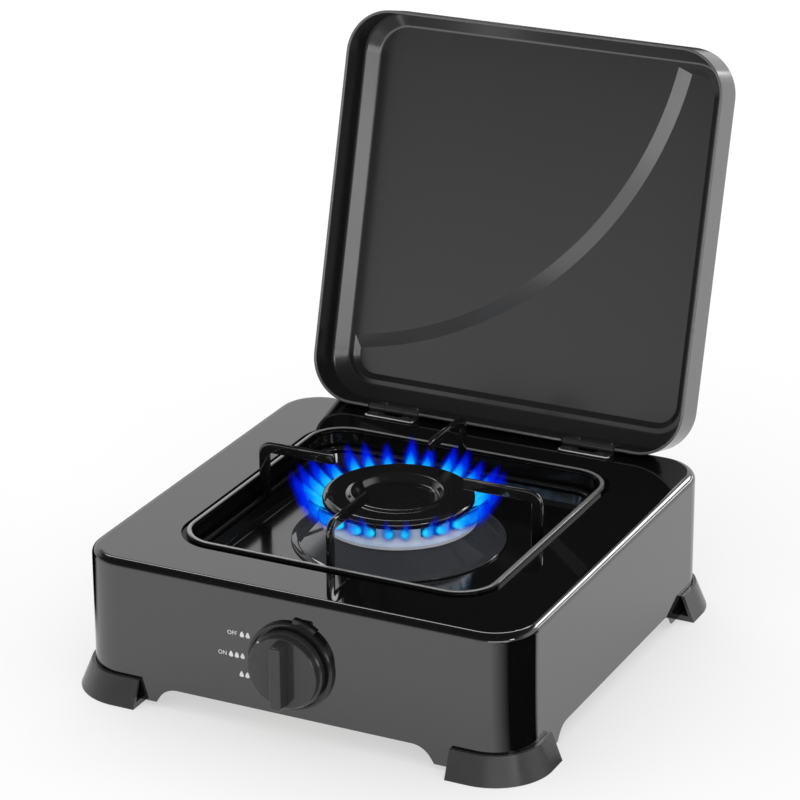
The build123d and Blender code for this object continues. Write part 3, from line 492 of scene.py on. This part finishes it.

# %% [markdown]
# In the photograph the mirror images inside the well are soft, and the bead round it shows as
# one thin pale line with black on both sides. So the enamel is rougher inside the well, has a
# painted highlight on the crest of the bead (a paler base colour there), and mirrors less on its
# flanks. Each is picked out by place: the crest is the very top of the body, and the rest lies
# near the burner's axis. The slopes of the open lid that look down at the stove mirror its black
# top, yet the photograph shows them about as light as the panel, so they get painted light: a
# paler base colour. Its left wall and right slope are black inside the lid, so they mirror less.

# %% Enamel by place
WELL_HALF, WELL_DULL = 0.0985, 0.13
WELL_START, WELL_FULL = 0.001, 0.004
# The crest grey is a painted highlight along the bead's crest.
CREST_DEPTH, CREST_HIGHLIGHT_GREY = 0.0004, 0.20
BEAD_HEIGHT, GROOVE_DEPTH, BEAD_HALF, FLANK_MIRROR = 0.0018, 0.0013, 0.1042, 0.08
PLATE_FILM = 0.00005
# The slope grey is painted light on the lid's slopes that face the stove.
SLOPE_PAINTED_LIGHT, SIDE_MIRROR = 0.055, 0.15
AHEAD_Y, SLANTED_Z, NO_WALL_Z = -0.3, (0.17, 0.03), (-0.90, -0.75)
LEFT_WALL_X, RIGHT_SLOPE_X = (0.78, 0.95), (-0.25, -0.50)
body_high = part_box("body_shell")[1]
burner_y = sum(v[1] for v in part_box("burner_cap")) / 2


def principled(material, label):
    """A material's node tree, and one socket of its Principled shader."""
    tree = material.node_tree
    return tree, tree.nodes["Principled BSDF"].inputs[label]


def product(tree, first, *others):
    """Product of several values."""
    for other in others:
        first = combine(tree, "MULTIPLY", first, other)
    return first


def distance(tree, value, centre):
    """|value - centre|."""
    return combine(tree, "ABSOLUTE", combine(tree, "SUBTRACT", value, centre), 0.0)


def near_burner(tree, x, y, half):
    """1 where max(|x|, |y - burner_y|) < half, else 0."""
    far = combine(tree, "MAXIMUM", distance(tree, x, 0.0), distance(tree, y, burner_y))
    return combine(tree, "LESS_THAN", far, half)


def dull_well(material, top):
    """Roughness = max(own, WELL_DULL) near the burner and below the top."""
    tree, rough = principled(material, "Roughness")
    own = rough.links[0].from_socket
    x, y, z = axes(tree, "Object")
    below = remap(tree, z, top - WELL_FULL, top - WELL_START, WELL_DULL, 0.0)
    inside = product(tree, near_burner(tree, x, y, WELL_HALF), below)
    tree.links.new(combine(tree, "MAXIMUM", own, inside), rough)


def dim_flanks(material, top):
    """Specular level = FLANK_MIRROR from the groove up to the crest, except on the plate."""
    tree, mirror = principled(material, "Specular IOR Level")
    x, y, z = axes(tree, "Object")
    plate = top - BEAD_HEIGHT
    above = combine(tree, "GREATER_THAN", z, plate - GROOVE_DEPTH)
    below = remap(tree, z, top - CREST_DEPTH, top - 0.5 * CREST_DEPTH, 1.0, 0.0)
    off_plate = combine(tree, "GREATER_THAN", distance(tree, z, plate), PLATE_FILM)
    flank = product(tree, near_burner(tree, x, y, BEAD_HALF), above, below, off_plate)
    tree.links.new(remap(tree, flank, 0.0, 1.0, mirror.default_value, FLANK_MIRROR), mirror)


def paint_crest_highlight(material, top):
    """Painted highlight: base colour turns to a pale grey where z > top - CREST_DEPTH."""
    tree, base = principled(material, "Base Color")
    own = base.links[0].from_socket
    _, _, z = axes(tree, "Object")
    crest = remap(tree, z, top - CREST_DEPTH, top - 0.25 * CREST_DEPTH, 0.0, 1.0)
    tree.links.new(tint(tree, crest, own, grey(CREST_HIGHLIGHT_GREY)), base)


def paint_slope_light(material):
    """Painted light: base colour turns to a paler grey where the normal points ahead and is slanted
    in z.
    """
    tree, base = principled(material, "Base Color")
    own = base.links[0].from_socket
    _, y, z = axes(tree, "Normal")
    slanted = remap(tree, z, *SLANTED_Z, 0.0, 1.0)
    no_wall = remap(tree, z, *NO_WALL_Z, 0.0, 1.0)
    mask = product(tree, slanted, no_wall, combine(tree, "LESS_THAN", y, AHEAD_Y))
    tree.links.new(tint(tree, mask, own, grey(SLOPE_PAINTED_LIGHT)), base)


def dim_sides(material):
    """Specular level = SIDE_MIRROR on the left wall and the right slope, by the normal's x."""
    tree, mirror = principled(material, "Specular IOR Level")
    left = combine(tree, "LESS_THAN", axes(tree, "Object")[0], 0.0)
    right = combine(tree, "SUBTRACT", 1.0, left)
    facing = axes(tree, "Normal")[0]
    wall = product(tree, left, remap(tree, facing, *LEFT_WALL_X, 0.0, 1.0))
    slope = product(tree, right, remap(tree, facing, *RIGHT_SLOPE_X, 0.0, 1.0))
    mask = combine(tree, "MAXIMUM", wall, slope)
    tree.links.new(remap(tree, mask, 0.0, 1.0, mirror.default_value, SIDE_MIRROR), mirror)


dull_well(body_enamel, body_high[2])
dim_flanks(body_enamel, body_high[2])
paint_crest_highlight(body_enamel, body_high[2])
paint_slope_light(lid_enamel)
dim_sides(lid_enamel)
print("well dulled below", round(body_high[2], 4))

# %% [markdown]
# ## Dress the solids
# Each solid keeps its shape and takes a finish. The table below is read by the start of the
# node's name, so left and right pieces share a line.

# %% Finishes of the solids
FINISH_OF = {
    "body_shell": body_enamel,
    "lid_shell": lid_enamel,
    "drip_cone": cone_enamel,
    "burner_cap": cap_enamel,
    "pan_": bar_enamel,
    "foot_screws": zinc_steel,
    "foot_": foot_plastic,
    "knob_bezel": bezel_plastic,
    "knob": knob_plastic,
    "burner_base": burner_aluminium,
    "mixing_tube": burner_aluminium,
    "hinge_pin": zinc_steel,
    "hinge_": hinge_paint,
    "valve_body": turned_brass,
    "valve_plug": turned_brass,
    "injector": turned_brass,
    "union_nut": turned_brass,
    "inlet_": turned_brass,
}


def finish_of(name):
    """Finish for a node: the longest matching start of its name, else plated steel."""
    found = [key for key in FINISH_OF if name.startswith(key)]
    return FINISH_OF[max(found, key=len)] if found else zinc_steel


for name, solid in nodes.items():
    solid.data.materials.clear()
    solid.data.materials.append(finish_of(name))
print("dressed", len(nodes), "solids")

# %% [markdown]
# ## Pan support with rounded bars
# In the photograph the support is flat black bar whose edges catch thin lines of light. A
# sharp-edged solid cannot show such a line, so we sweep a rounded section along each bar.

# %% Sections and sweeps


def rounded_section(width, height, radius, steps=5):
    """Closed outline of a rectangle whose corners are quarter circles, anticlockwise."""
    turn = np.linspace(0.0, np.pi / 2, steps)
    start = np.repeat(np.arange(4) * np.pi / 2, steps) + np.tile(turn, 4)
    sign_x, sign_y = np.repeat([1, -1, -1, 1], steps), np.repeat([1, 1, -1, -1], steps)
    u = sign_x * (width / 2 - radius) + radius * np.cos(start)
    v = sign_y * (height / 2 - radius) + radius * np.sin(start)
    return np.stack([u, v], -1)


def round_section(radius, steps=12):
    """Closed outline of a circle."""
    turn = np.arange(steps) * 2 * np.pi / steps
    return radius * np.stack([np.cos(turn), np.sin(turn)], -1)


def sweep(path, across, upward, section, closed=False):
    """Section carried along a path: point = path + u * across + v * upward, ends closed flat."""
    u, v = section[:, 0][None, :, None], section[:, 1][None, :, None]
    points = path[:, None, :] + u * across[:, None, :] + v * upward[:, None, :]
    rows, columns = points.shape[:2]
    faces = grid_faces(rows, columns, closed, True).tolist()
    if not closed:
        last = (rows - 1) * columns
        faces.append(list(range(columns))[::-1])
        faces.append(list(range(last, last + columns)))
    return points.reshape(-1, 3), faces


def at_height(plan, z):
    """Points of a plan as points in space, all at one height."""
    return np.concatenate([plan, np.full((len(plan), 1), z)], -1)


def joined(*parts):
    """Several (points, faces) pairs as one pair."""
    points, faces, count = [], [], 0
    for part_points, part_faces in parts:
        points.append(part_points)
        faces += [[i + count for i in face] for face in part_faces]
        count += len(part_points)
    return np.concatenate(points), faces


def round_rectangle(width, length, radius, steps=9):
    """Anticlockwise rounded rectangle: its points and the outward direction at each."""
    turn = np.linspace(0.0, np.pi / 2, steps)
    angle = np.repeat(np.arange(4) * np.pi / 2, steps) + np.tile(turn, 4)
    outward = np.stack([np.cos(angle), np.sin(angle)], -1)
    sign = np.repeat(np.array([(1, 1), (-1, 1), (-1, -1), (1, -1)]), steps, axis=0)
    corner = sign * np.array([width / 2 - radius, length / 2 - radius])
    return corner + radius * outward, outward


UP = np.array([0.0, 0.0, 1.0])
FRAME_BAR_WIDTH, FRAME_BAR_ROUND = 0.0038, 0.0013
WELL_CORNER_RADIUS = 0.021
frame_low, frame_high = (np.array(v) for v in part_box("pan_frame"))
frame_middle = (frame_low + frame_high) / 2
frame_size = frame_high - frame_low
line, outward = round_rectangle(
    frame_size[0] - FRAME_BAR_WIDTH,
    frame_size[1] - FRAME_BAR_WIDTH,
    WELL_CORNER_RADIUS - FRAME_BAR_WIDTH,
)
line, inward = at_height(line, 0.0) + frame_middle, at_height(-outward, 0.0)
section = rounded_section(FRAME_BAR_WIDTH, frame_size[2], FRAME_BAR_ROUND)
points, faces = sweep(line, inward, np.tile(UP, (len(line), 1)), section, closed=True)
frame_piece = new_piece("support_frame", points, faces, bar_enamel, "base")
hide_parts("pan_frame")
print("support_frame:", len(points), "points")

# %% [markdown]
# Each arm is one flat bar: up from the frame, round a bend, and level towards the burner. Its
# section turns with it, so the wide side of the bar stays upright. The four arms are the same
# bar turned by quarter turns, each as long as its own side of the well allows.

# %% Arms of the support
ARM_DEPTH, ARM_THICKNESS, ARM_ROUND = 0.0074, 0.003, 0.0013
ARM_BEND = 0.005
ARM_INNER_END = 0.0435
arm_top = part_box("pan_arm_front")[1][2]
TURN_OF_ARM = {"right": 0, "rear": 1, "left": 2, "front": 3}


def arm(side):
    """Bar along a line that rises, turns through a quarter circle and runs inward."""
    angle = TURN_OF_ARM[side] * np.pi / 2
    radial = np.array([np.cos(angle), np.sin(angle), 0.0])
    sideways = np.array([-np.sin(angle), np.cos(angle), 0.0])
    riser = frame_size[0 if side in ("left", "right") else 1] / 2 - ARM_DEPTH / 2
    level_z = arm_top - ARM_DEPTH / 2
    turn = np.linspace(0.0, np.pi / 2, 10)
    s = np.concatenate([[riser], riser - ARM_BEND + ARM_BEND * np.cos(turn), [ARM_INNER_END]])
    z = np.concatenate([[frame_high[2]], level_z - ARM_BEND + ARM_BEND * np.sin(turn), [level_z]])
    lean = np.concatenate([[0.0], turn, [np.pi / 2]])
    middle = np.array([0.0, burner_y, 0.0])
    path = middle + s[:, None] * radial + z[:, None] * UP
    across = np.cos(lean)[:, None] * radial + np.sin(lean)[:, None] * UP
    beside = np.tile(sideways, (len(s), 1))
    return sweep(path, across, beside, rounded_section(ARM_DEPTH, ARM_THICKNESS, ARM_ROUND))


for side in TURN_OF_ARM:
    points, faces = arm(side)
    piece = new_piece("support_arm_" + side, points, faces, bar_enamel, "base")
    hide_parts("pan_arm_" + side)
print("arms:", list(TURN_OF_ARM))

# %% [markdown]
# ## Burner cap and drip cone
# The cap is drawn as a black cup with a raised bead round its dish. We draw half of its
# outline, soften every corner of that line, and spin it about the burner's axis. The cone
# below it is spun in the same way, but its outline closes on itself and makes a ring.

# %% Turned pieces


def softened(corners, reach, steps=6):
    """Polyline whose inner corners become short parabolas that start and end near the corner."""
    corners = np.asarray(corners, float)
    before, middle, after = corners[:-2], corners[1:-1], corners[2:]
    into, out = before - middle, after - middle
    into_length = np.linalg.norm(into, axis=1, keepdims=True)
    out_length = np.linalg.norm(out, axis=1, keepdims=True)
    near = np.minimum(reach, 0.45 * np.minimum(into_length, out_length))
    start, end = middle + into / into_length * near, middle + out / out_length * near
    t = np.linspace(0.0, 1.0, steps)[None, :, None]
    curves = (1 - t) ** 2 * start[:, None] + 2 * t * (1 - t) * middle[:, None] + t**2 * end[:, None]
    return np.concatenate([corners[:1], curves.reshape(-1, 2), corners[-1:]])


def turned(outline, middle, columns):
    """Points of an outline of (radius, height) turned about an upright line, row by row."""
    angle = np.arange(columns) * 2 * np.pi / columns
    r, z = outline[:, 0][:, None], outline[:, 1][:, None]
    points = np.stack([
        middle[0] + r * np.cos(angle),
        middle[1] + r * np.sin(angle),
        np.broadcast_to(z, (len(outline), columns)),
    ], -1)
    return points.reshape(-1, 3)


def spun(outline, middle, columns=144):
    """Outline turned about an upright line; both ends closed by a disc."""
    faces = grid_faces(len(outline), columns, False, True).tolist()
    last = (len(outline) - 1) * columns
    faces.append(list(range(columns))[::-1])
    faces.append(list(range(last, last + columns)))
    return turned(outline, middle, columns), faces


def spun_ring(outline, middle, columns=144):
    """Closed outline turned about an upright line into a ring."""
    faces = grid_faces(len(outline), columns, True, True).tolist()
    return turned(outline, middle, columns), faces


SPIGOT_DEPTH, CAP_RISE = 0.003, 0.0054
CAP_SOFTNESS, CONE_SOFTNESS = 0.0011, 0.0012
cap_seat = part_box("burner_cap")[0][2] + SPIGOT_DEPTH
cap_top = cap_seat + CAP_RISE
burner_axis = (0.0, burner_y)
cap_corners = [
    (0.0300, cap_seat - 0.0020), (0.0411, cap_seat - 0.0020), (0.0411, cap_seat),
    (0.0459, cap_seat), (0.0459, cap_top - 0.0018), (0.0436, cap_top - 0.0001),
    (0.0312, cap_top - 0.0007), (0.0295, cap_top + 0.0006), (0.0268, cap_top + 0.0006),
    (0.0246, cap_top - 0.0040), (0.0080, cap_top - 0.0042),
]
points, faces = spun(softened(cap_corners, CAP_SOFTNESS), burner_axis)
cap_piece = new_piece("cap_disc", points, faces, cap_enamel, "cap")
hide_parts("burner_cap")

cone_low, cone_high = (np.array(v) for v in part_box("drip_cone"))
floor_z, cone_top = cone_low[2], cone_high[2]
cone_corners = [
    (0.0600, floor_z), (0.0650, floor_z), (0.0650, floor_z + 0.0012), (0.0612, floor_z + 0.0021),
    (0.0462, cone_top - 0.0002), (0.0400, cone_top - 0.0001), (0.0400, cone_top - 0.0010),
    (0.0450, cone_top - 0.0012), (0.0600, floor_z + 0.0010), (0.0600, floor_z + 0.0002),
]
points, faces = spun_ring(softened(cone_corners, CONE_SOFTNESS), burner_axis)
cone_piece = new_piece("cone_sheet", points, faces, cone_enamel, "base")
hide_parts("drip_cone")
print("turned: cap_disc, cone_sheet")

# %% [markdown]
# ## Rolled hem of the lid
# A bright line runs round the open lid in the photograph. We draw it as the narrow rolled hem
# that such a pressing has along its cut edge, and give the hem a paler colour than the lid as a
# painted highlight, so that the line shows. It stops at the two hinge notches.

# %% Hem of the lid
LID_WIDTH, LID_LENGTH, LID_CORNER = 0.2556, 0.2528, 0.029
LID_RIM_HEIGHT = 0.0908
LID_OPEN = np.radians(105.0)
HEM_RADIUS, HEM_SET_IN, HEM_STEPS = 0.00085, 0.0004, 13
HINGE_X, NOTCH_HALF = 0.0675, 0.0182
WALL_BEHIND_AXIS = 0.0004
hinge = np.array([j for j in frame["joints"] if j["name"] == "lid_hinge"][0]["pos_m"])


def open_lid(points):
    """Points of the closed lid turned back about the hinge line."""
    y, z = points[..., 1] - hinge[1], points[..., 2] - hinge[2]
    c, s = np.cos(LID_OPEN), np.sin(LID_OPEN)
    return np.stack([points[..., 0], hinge[1] + c * y + s * z, hinge[2] - s * y + c * z], -1)


def hem(plan, outward):
    """Round bead along part of the rim, turned with the lid."""
    path, inward = at_height(plan, LID_RIM_HEIGHT + HEM_SET_IN), at_height(-outward, 0.0)
    upward = np.tile(UP, (len(plan), 1))
    points, faces = sweep(path, inward, upward, round_section(HEM_RADIUS))
    return open_lid(points), faces


plan, outward = round_rectangle(
    LID_WIDTH - 2 * HEM_RADIUS,
    LID_LENGTH - 2 * HEM_RADIUS,
    LID_CORNER - HEM_RADIUS,
    HEM_STEPS,
)
plan = plan + np.array([0.0, hinge[1] + WALL_BEHIND_AXIS - LID_LENGTH / 2])
rear_y = plan[:, 1].max()
back_way = np.array([0.0, 1.0])
left_end, right_end = (-HINGE_X - NOTCH_HALF, rear_y), (HINGE_X + NOTCH_HALF, rear_y)
long_plan = np.concatenate([[left_end], plan[HEM_STEPS:], plan[:HEM_STEPS], [right_end]])
long_out = np.concatenate([[back_way], outward[HEM_STEPS:], outward[:HEM_STEPS], [back_way]])
short_plan = np.array([(HINGE_X - NOTCH_HALF, rear_y), (-HINGE_X + NOTCH_HALF, rear_y)])
short_out = np.array([back_way, back_way])
points, faces = joined(hem(long_plan, long_out), hem(short_plan, short_out))
new_piece("lid_hem", points, faces, hem_painted_highlight, "lid")
print("lid_hem:", len(points), "points")

# %% [markdown]
# In the photograph each hinge shows a bright line along its front edge, with two short
# returns. We draw it as a painted highlight: a thin pale bead along the front of the leaf on the
# body.

# %% Painted highlights along the hinge edges
EDGE_RADIUS, LEAF_CORNER, LEAF_STEPS = 0.0006, 0.0025, 9


def leaf_edge(side):
    """Thin round bead along the front of a hinge leaf: the front half of a rounded rectangle."""
    low, high = (np.array(v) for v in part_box("hinge_body_leaf_" + side))
    size = (high[0] - low[0], 2 * (hinge[1] - low[1]))
    plan, outward = round_rectangle(*size, LEAF_CORNER, LEAF_STEPS)
    plan, outward = plan[2 * LEAF_STEPS:], outward[2 * LEAF_STEPS:]
    plan = plan + [(low[0] + high[0]) / 2, hinge[1]] - EDGE_RADIUS * outward
    path, inward = at_height(plan, low[2] + EDGE_RADIUS), at_height(-outward, 0.0)
    return sweep(path, inward, np.tile(UP, (len(plan), 1)), round_section(EDGE_RADIUS))


points, faces = joined(leaf_edge("left"), leaf_edge("right"))
new_piece("hinge_edge_highlights", points, faces, painted_edge_highlight, "base")
print("hinge_edge_highlights:", len(points), "points")

# %% [markdown]
# ## Marks at the knob
# The front carries white printed marks left of the knob: OFF with two small flames, ON with
# three, and two more for a low flame. They are a film of paint, so they lie a twentieth of a
# millimetre off the enamel. The knob has a white pointer on its skirt.

# %% Printed marks
PAINT_FILM = 0.00005
MARK_HEIGHT, WORD_HEIGHT, WORD_LIFT = 0.0036, 0.0026, 0.0004
SIZE_OF_FONT = 1.4
front_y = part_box("body_shell")[0][1]
knob_low, knob_high = (np.array(v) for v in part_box("knob"))
knob_x, knob_z = (knob_low[0] + knob_high[0]) / 2, (knob_low[2] + knob_high[2]) / 2


def printed_word(word, x, z, height):
    """Letters as flat faces on the front, their left end at x and their foot at z."""
    curve = bpy.data.curves.new("word", "FONT")
    curve.body, curve.size = word, height * SIZE_OF_FONT
    writer = bpy.data.objects.new("word", curve)
    scene.collection.objects.link(writer)
    graph = bpy.context.evaluated_depsgraph_get()
    flat = bpy.data.meshes.new_from_object(writer.evaluated_get(graph))
    points = np.zeros(len(flat.vertices) * 3)
    flat.vertices.foreach_get("co", points)
    points = points.reshape(-1, 3)
    faces = [list(face.vertices) for face in flat.polygons]
    bpy.data.objects.remove(writer)
    bpy.data.meshes.remove(flat)
    film = np.full(len(points), front_y - PAINT_FILM)
    return np.stack([x + points[:, 0], film, z + points[:, 1]], -1), faces


def flame_mark(x, z, height):
    """Flame sign: an outline whose half width is a rounded belly drawn to a point, as strips."""
    t = np.linspace(0.0, 1.0, 15)
    width = 0.42 * height * np.sqrt(np.sin(np.pi * t**0.62)) * (1 - 0.35 * t)
    width[0], width[-1] = 0.12 * height, 0.02 * height
    side = np.array([-1.0, 1.0])
    across = x + width[:, None] * side
    up = np.broadcast_to((z + height * t)[:, None], across.shape)
    points = np.stack([across, np.full(across.shape, front_y - PAINT_FILM), up], -1)
    return points.reshape(-1, 3), grid_faces(len(t), 2, False, False).tolist()


ROWS = [
    ("OFF", -0.0416, 0.0577, (-0.0320, -0.0282)),
    ("ON", -0.0479, 0.0439, (-0.0394, -0.0356, -0.0318)),
    ("", 0.0, 0.0322, (-0.0327, -0.0289)),
]
marks = [flame_mark(x, z, MARK_HEIGHT) for _, _, z, places in ROWS for x in places]
marks += [printed_word(word, x, z + WORD_LIFT, WORD_HEIGHT) for word, x, z, _ in ROWS if word]
points, faces = joined(*marks)
new_piece("control_marks", points, faces, mark_paint, "base", smooth=False)

POINTER_ANGLE, POINTER_HALF, POINTER_STEPS = np.radians(139.0), 0.035, 7
SKIRT_INNER, SKIRT_OUTER, SKIRT_DEPTH = 0.0221, 0.0229, 0.0042
skirt_front = knob_high[1] - SKIRT_DEPTH
turn = POINTER_ANGLE + np.linspace(POINTER_HALF, -POINTER_HALF, POINTER_STEPS)
ring = np.array([SKIRT_INNER, SKIRT_OUTER])
points = np.stack([
    knob_x + ring[None, :] * np.cos(turn)[:, None],
    np.full((POINTER_STEPS, 2), skirt_front - PAINT_FILM),
    knob_z + ring[None, :] * np.sin(turn)[:, None],
], -1)
faces = grid_faces(POINTER_STEPS, 2, False, False)
new_piece("knob_pointer", points, faces, mark_paint, "knob", smooth=False)
print("marks:", len(marks), "and a pointer")

# %% [markdown]
# ## Spring behind the knob
# A coil stands between the valve's cover and a collar on the spindle. We wind the wire again
# as a round coil and hide the solid.

# %% Spindle spring
SPRING_WIRE, SPRING_TURNS, KNOB_TRAVEL = 0.0004, 3.5, 0.003


def coil(low, high, wire, turns, steps=127):
    """Round wire along a helix in a box: (r cos t, pitch t, -r sin t) about the box's middle."""
    t = np.linspace(0.0, 2 * np.pi * turns, steps)
    middle, run = (low + high) / 2, high[1] - low[1] - 2 * wire
    radius = (high[0] - low[0]) / 2 - wire
    radial = np.stack([np.cos(t), np.zeros(steps), -np.sin(t)], -1)
    forward = run * (t / t[-1] - 0.5)
    path = middle + radius * radial + forward[:, None] * np.array([0.0, 1.0, 0.0])
    along = np.stack([-radius * np.sin(t), np.full(steps, run / t[-1]), -radius * np.cos(t)], -1)
    along /= np.linalg.norm(along, axis=1, keepdims=True)
    return sweep(path, radial, np.cross(along, radial), round_section(wire, 8))


spring_low, spring_high = (np.array(v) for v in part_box("spindle_spring"))
points, faces = coil(spring_low, spring_high, SPRING_WIRE, SPRING_TURNS)
spring = new_piece("spring_coil", points, faces, zinc_steel, "base")
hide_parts("spindle_spring")
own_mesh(spring)
print("spring_coil:", len(points), "points")

# %% [markdown]
# ## Flames
# The stove is pictured alight. A gas flame has no solid surface, so each one is three thin
# skins: a pale blue core in a deeper blue mantle in a faint halo, all gone at the tip.
# Each leaves its port, swings outward and then climbs.

# %% Flames at the ports
EDGE_SOFTNESS = 2.4
WISP_SCALE = 260.0


def flame_material(name, colours, strength, thickness):
    """Glow; colour and thinness follow the flame's length, softer towards its outline."""
    material = bpy.data.materials.new(name)
    material.use_nodes = True
    tree = material.node_tree
    shader = tree.nodes["Principled BSDF"]
    along = tree.nodes.new("ShaderNodeAttribute")
    along.attribute_name = "along"
    where = tree.nodes.new("ShaderNodeTexCoord").outputs["Object"]
    wisp = noise(tree, where, WISP_SCALE)
    tones = ramp(tree, along.outputs["Fac"], colours)
    facing = tree.nodes.new("ShaderNodeLayerWeight")
    facing.inputs["Blend"].default_value = 0.5
    inner = remap(tree, facing.outputs["Facing"], 0.0, 0.9, 1.0, 0.0)
    soft = combine(tree, "POWER", inner, EDGE_SOFTNESS)
    fade = remap(tree, wisp, 0.25, 0.75, 0.75 * thickness, thickness)
    amount = product(tree, soft, fade, tones.outputs["Alpha"])
    tree.links.new(tones.outputs["Color"], shader.inputs["Emission Color"])
    tree.links.new(amount, shader.inputs["Alpha"])
    shader.inputs["Base Color"].default_value = BLACK
    shader.inputs["Specular IOR Level"].default_value = 0.0
    shader.inputs["Emission Strength"].default_value = strength
    return material


PORT_COUNT, PORT_RADIUS, PORT_DROP = 28, 0.0440, 0.0028
PORT_HEIGHT = cap_seat - PORT_DROP
FLAME_REACH, FLAME_RISE = 0.0175, 0.0172
SIZE_SPREAD, SWAY_SPREAD = 0.14, 0.04


def flames(name, start, length, width, material, rows=16, columns=14, seed=3):
    """Tapered tubes on lines that swing out and then up; their radius is the swell below."""
    random = np.random.default_rng(seed)
    size = 1.0 + random.uniform(-SIZE_SPREAD, SIZE_SPREAD, PORT_COUNT)
    sway = random.uniform(-SWAY_SPREAD, SWAY_SPREAD, PORT_COUNT)
    angle = (np.arange(PORT_COUNT) + 0.5) * 2 * np.pi / PORT_COUNT + sway
    t = np.linspace(0.0, 1.0, rows)
    turn = np.arange(columns) * 2 * np.pi / columns
    out = PORT_RADIUS + start + FLAME_REACH * length * (1 - (1 - t) ** 1.7)
    high = PORT_HEIGHT + FLAME_RISE * length * t**1.55
    swell = width * (0.4 + 0.6 * np.sin(np.pi * t**0.7)) * np.sqrt(1 - t**4)
    swell[-1] = 0.02 * width
    slope = np.arctan2(np.gradient(high), np.gradient(out))
    # axes: flame, row, column
    grow = size[:, None, None]
    radial = out[None, :, None] * np.ones((PORT_COUNT, 1, columns))
    radial = PORT_RADIUS + start + (radial - PORT_RADIUS - start) * grow
    level_z = PORT_HEIGHT + (high[None, :, None] - PORT_HEIGHT) * grow
    up = swell[None, :, None] * np.cos(turn)
    beside = swell[None, :, None] * np.sin(turn)
    radial = radial - up * np.sin(slope)[None, :, None]
    level_z = level_z + up * np.cos(slope)[None, :, None]
    a = angle[:, None, None]
    points = np.stack([
        radial * np.cos(a) - beside * np.sin(a),
        burner_y + radial * np.sin(a) + beside * np.cos(a),
        level_z + np.zeros_like(radial),
    ], -1)
    one = grid_faces(rows, columns, False, True)
    offset = np.arange(PORT_COUNT)[:, None] * rows * columns
    faces = (one[None] + offset[:, :, None]).reshape(-1, 4).tolist()
    first = offset + np.arange(columns)
    faces += first[:, ::-1].tolist() + (first + (rows - 1) * columns).tolist()
    piece = new_piece(name, points, faces, material, "base")
    mark = piece.data.attributes.new("along", "FLOAT", "POINT")
    mark.data.foreach_set("value", np.tile(np.repeat(t, columns), PORT_COUNT).astype(np.float32))
    piece.visible_glossy = False
    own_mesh(piece)
    return piece


halo = flame_material(
    "flame_halo",
    [(0.0, (0.0, 0.03, 0.8, 0.3)), (0.5, (0.0, 0.01, 0.8, 0.6)), (0.8, (0.0, 0.0, 0.7, 0.35)),
     (1.0, (0.0, 0.0, 0.6, 0.0))], 1.0, 0.6,
)
mantle = flame_material(
    "flame_mantle",
    [(0.0, (0.0, 0.45, 1.0, 0.5)), (0.3, (0.0, 0.22, 1.0, 0.75)), (0.6, (0.0, 0.03, 0.95, 0.9)),
     (1.0, (0.0, 0.0, 0.7, 0.0))], 1.0, 0.9,
)
core = flame_material(
    "flame_core",
    [(0.0, (0.02, 0.7, 1.0, 0.9)), (0.4, (0.02, 0.75, 1.0, 1.0)), (0.7, (0.0, 0.4, 1.0, 0.8)),
     (1.0, (0.0, 0.1, 1.0, 0.0))], 1.4, 1.0,
)
flames("flame_halos", 0.0, 1.08, 0.0068, halo)
flames("flame_mantles", 0.0, 1.0, 0.0046, mantle)
flames("flame_cores", 0.0005, 0.66, 0.0036, core)
print("flames:", PORT_COUNT)
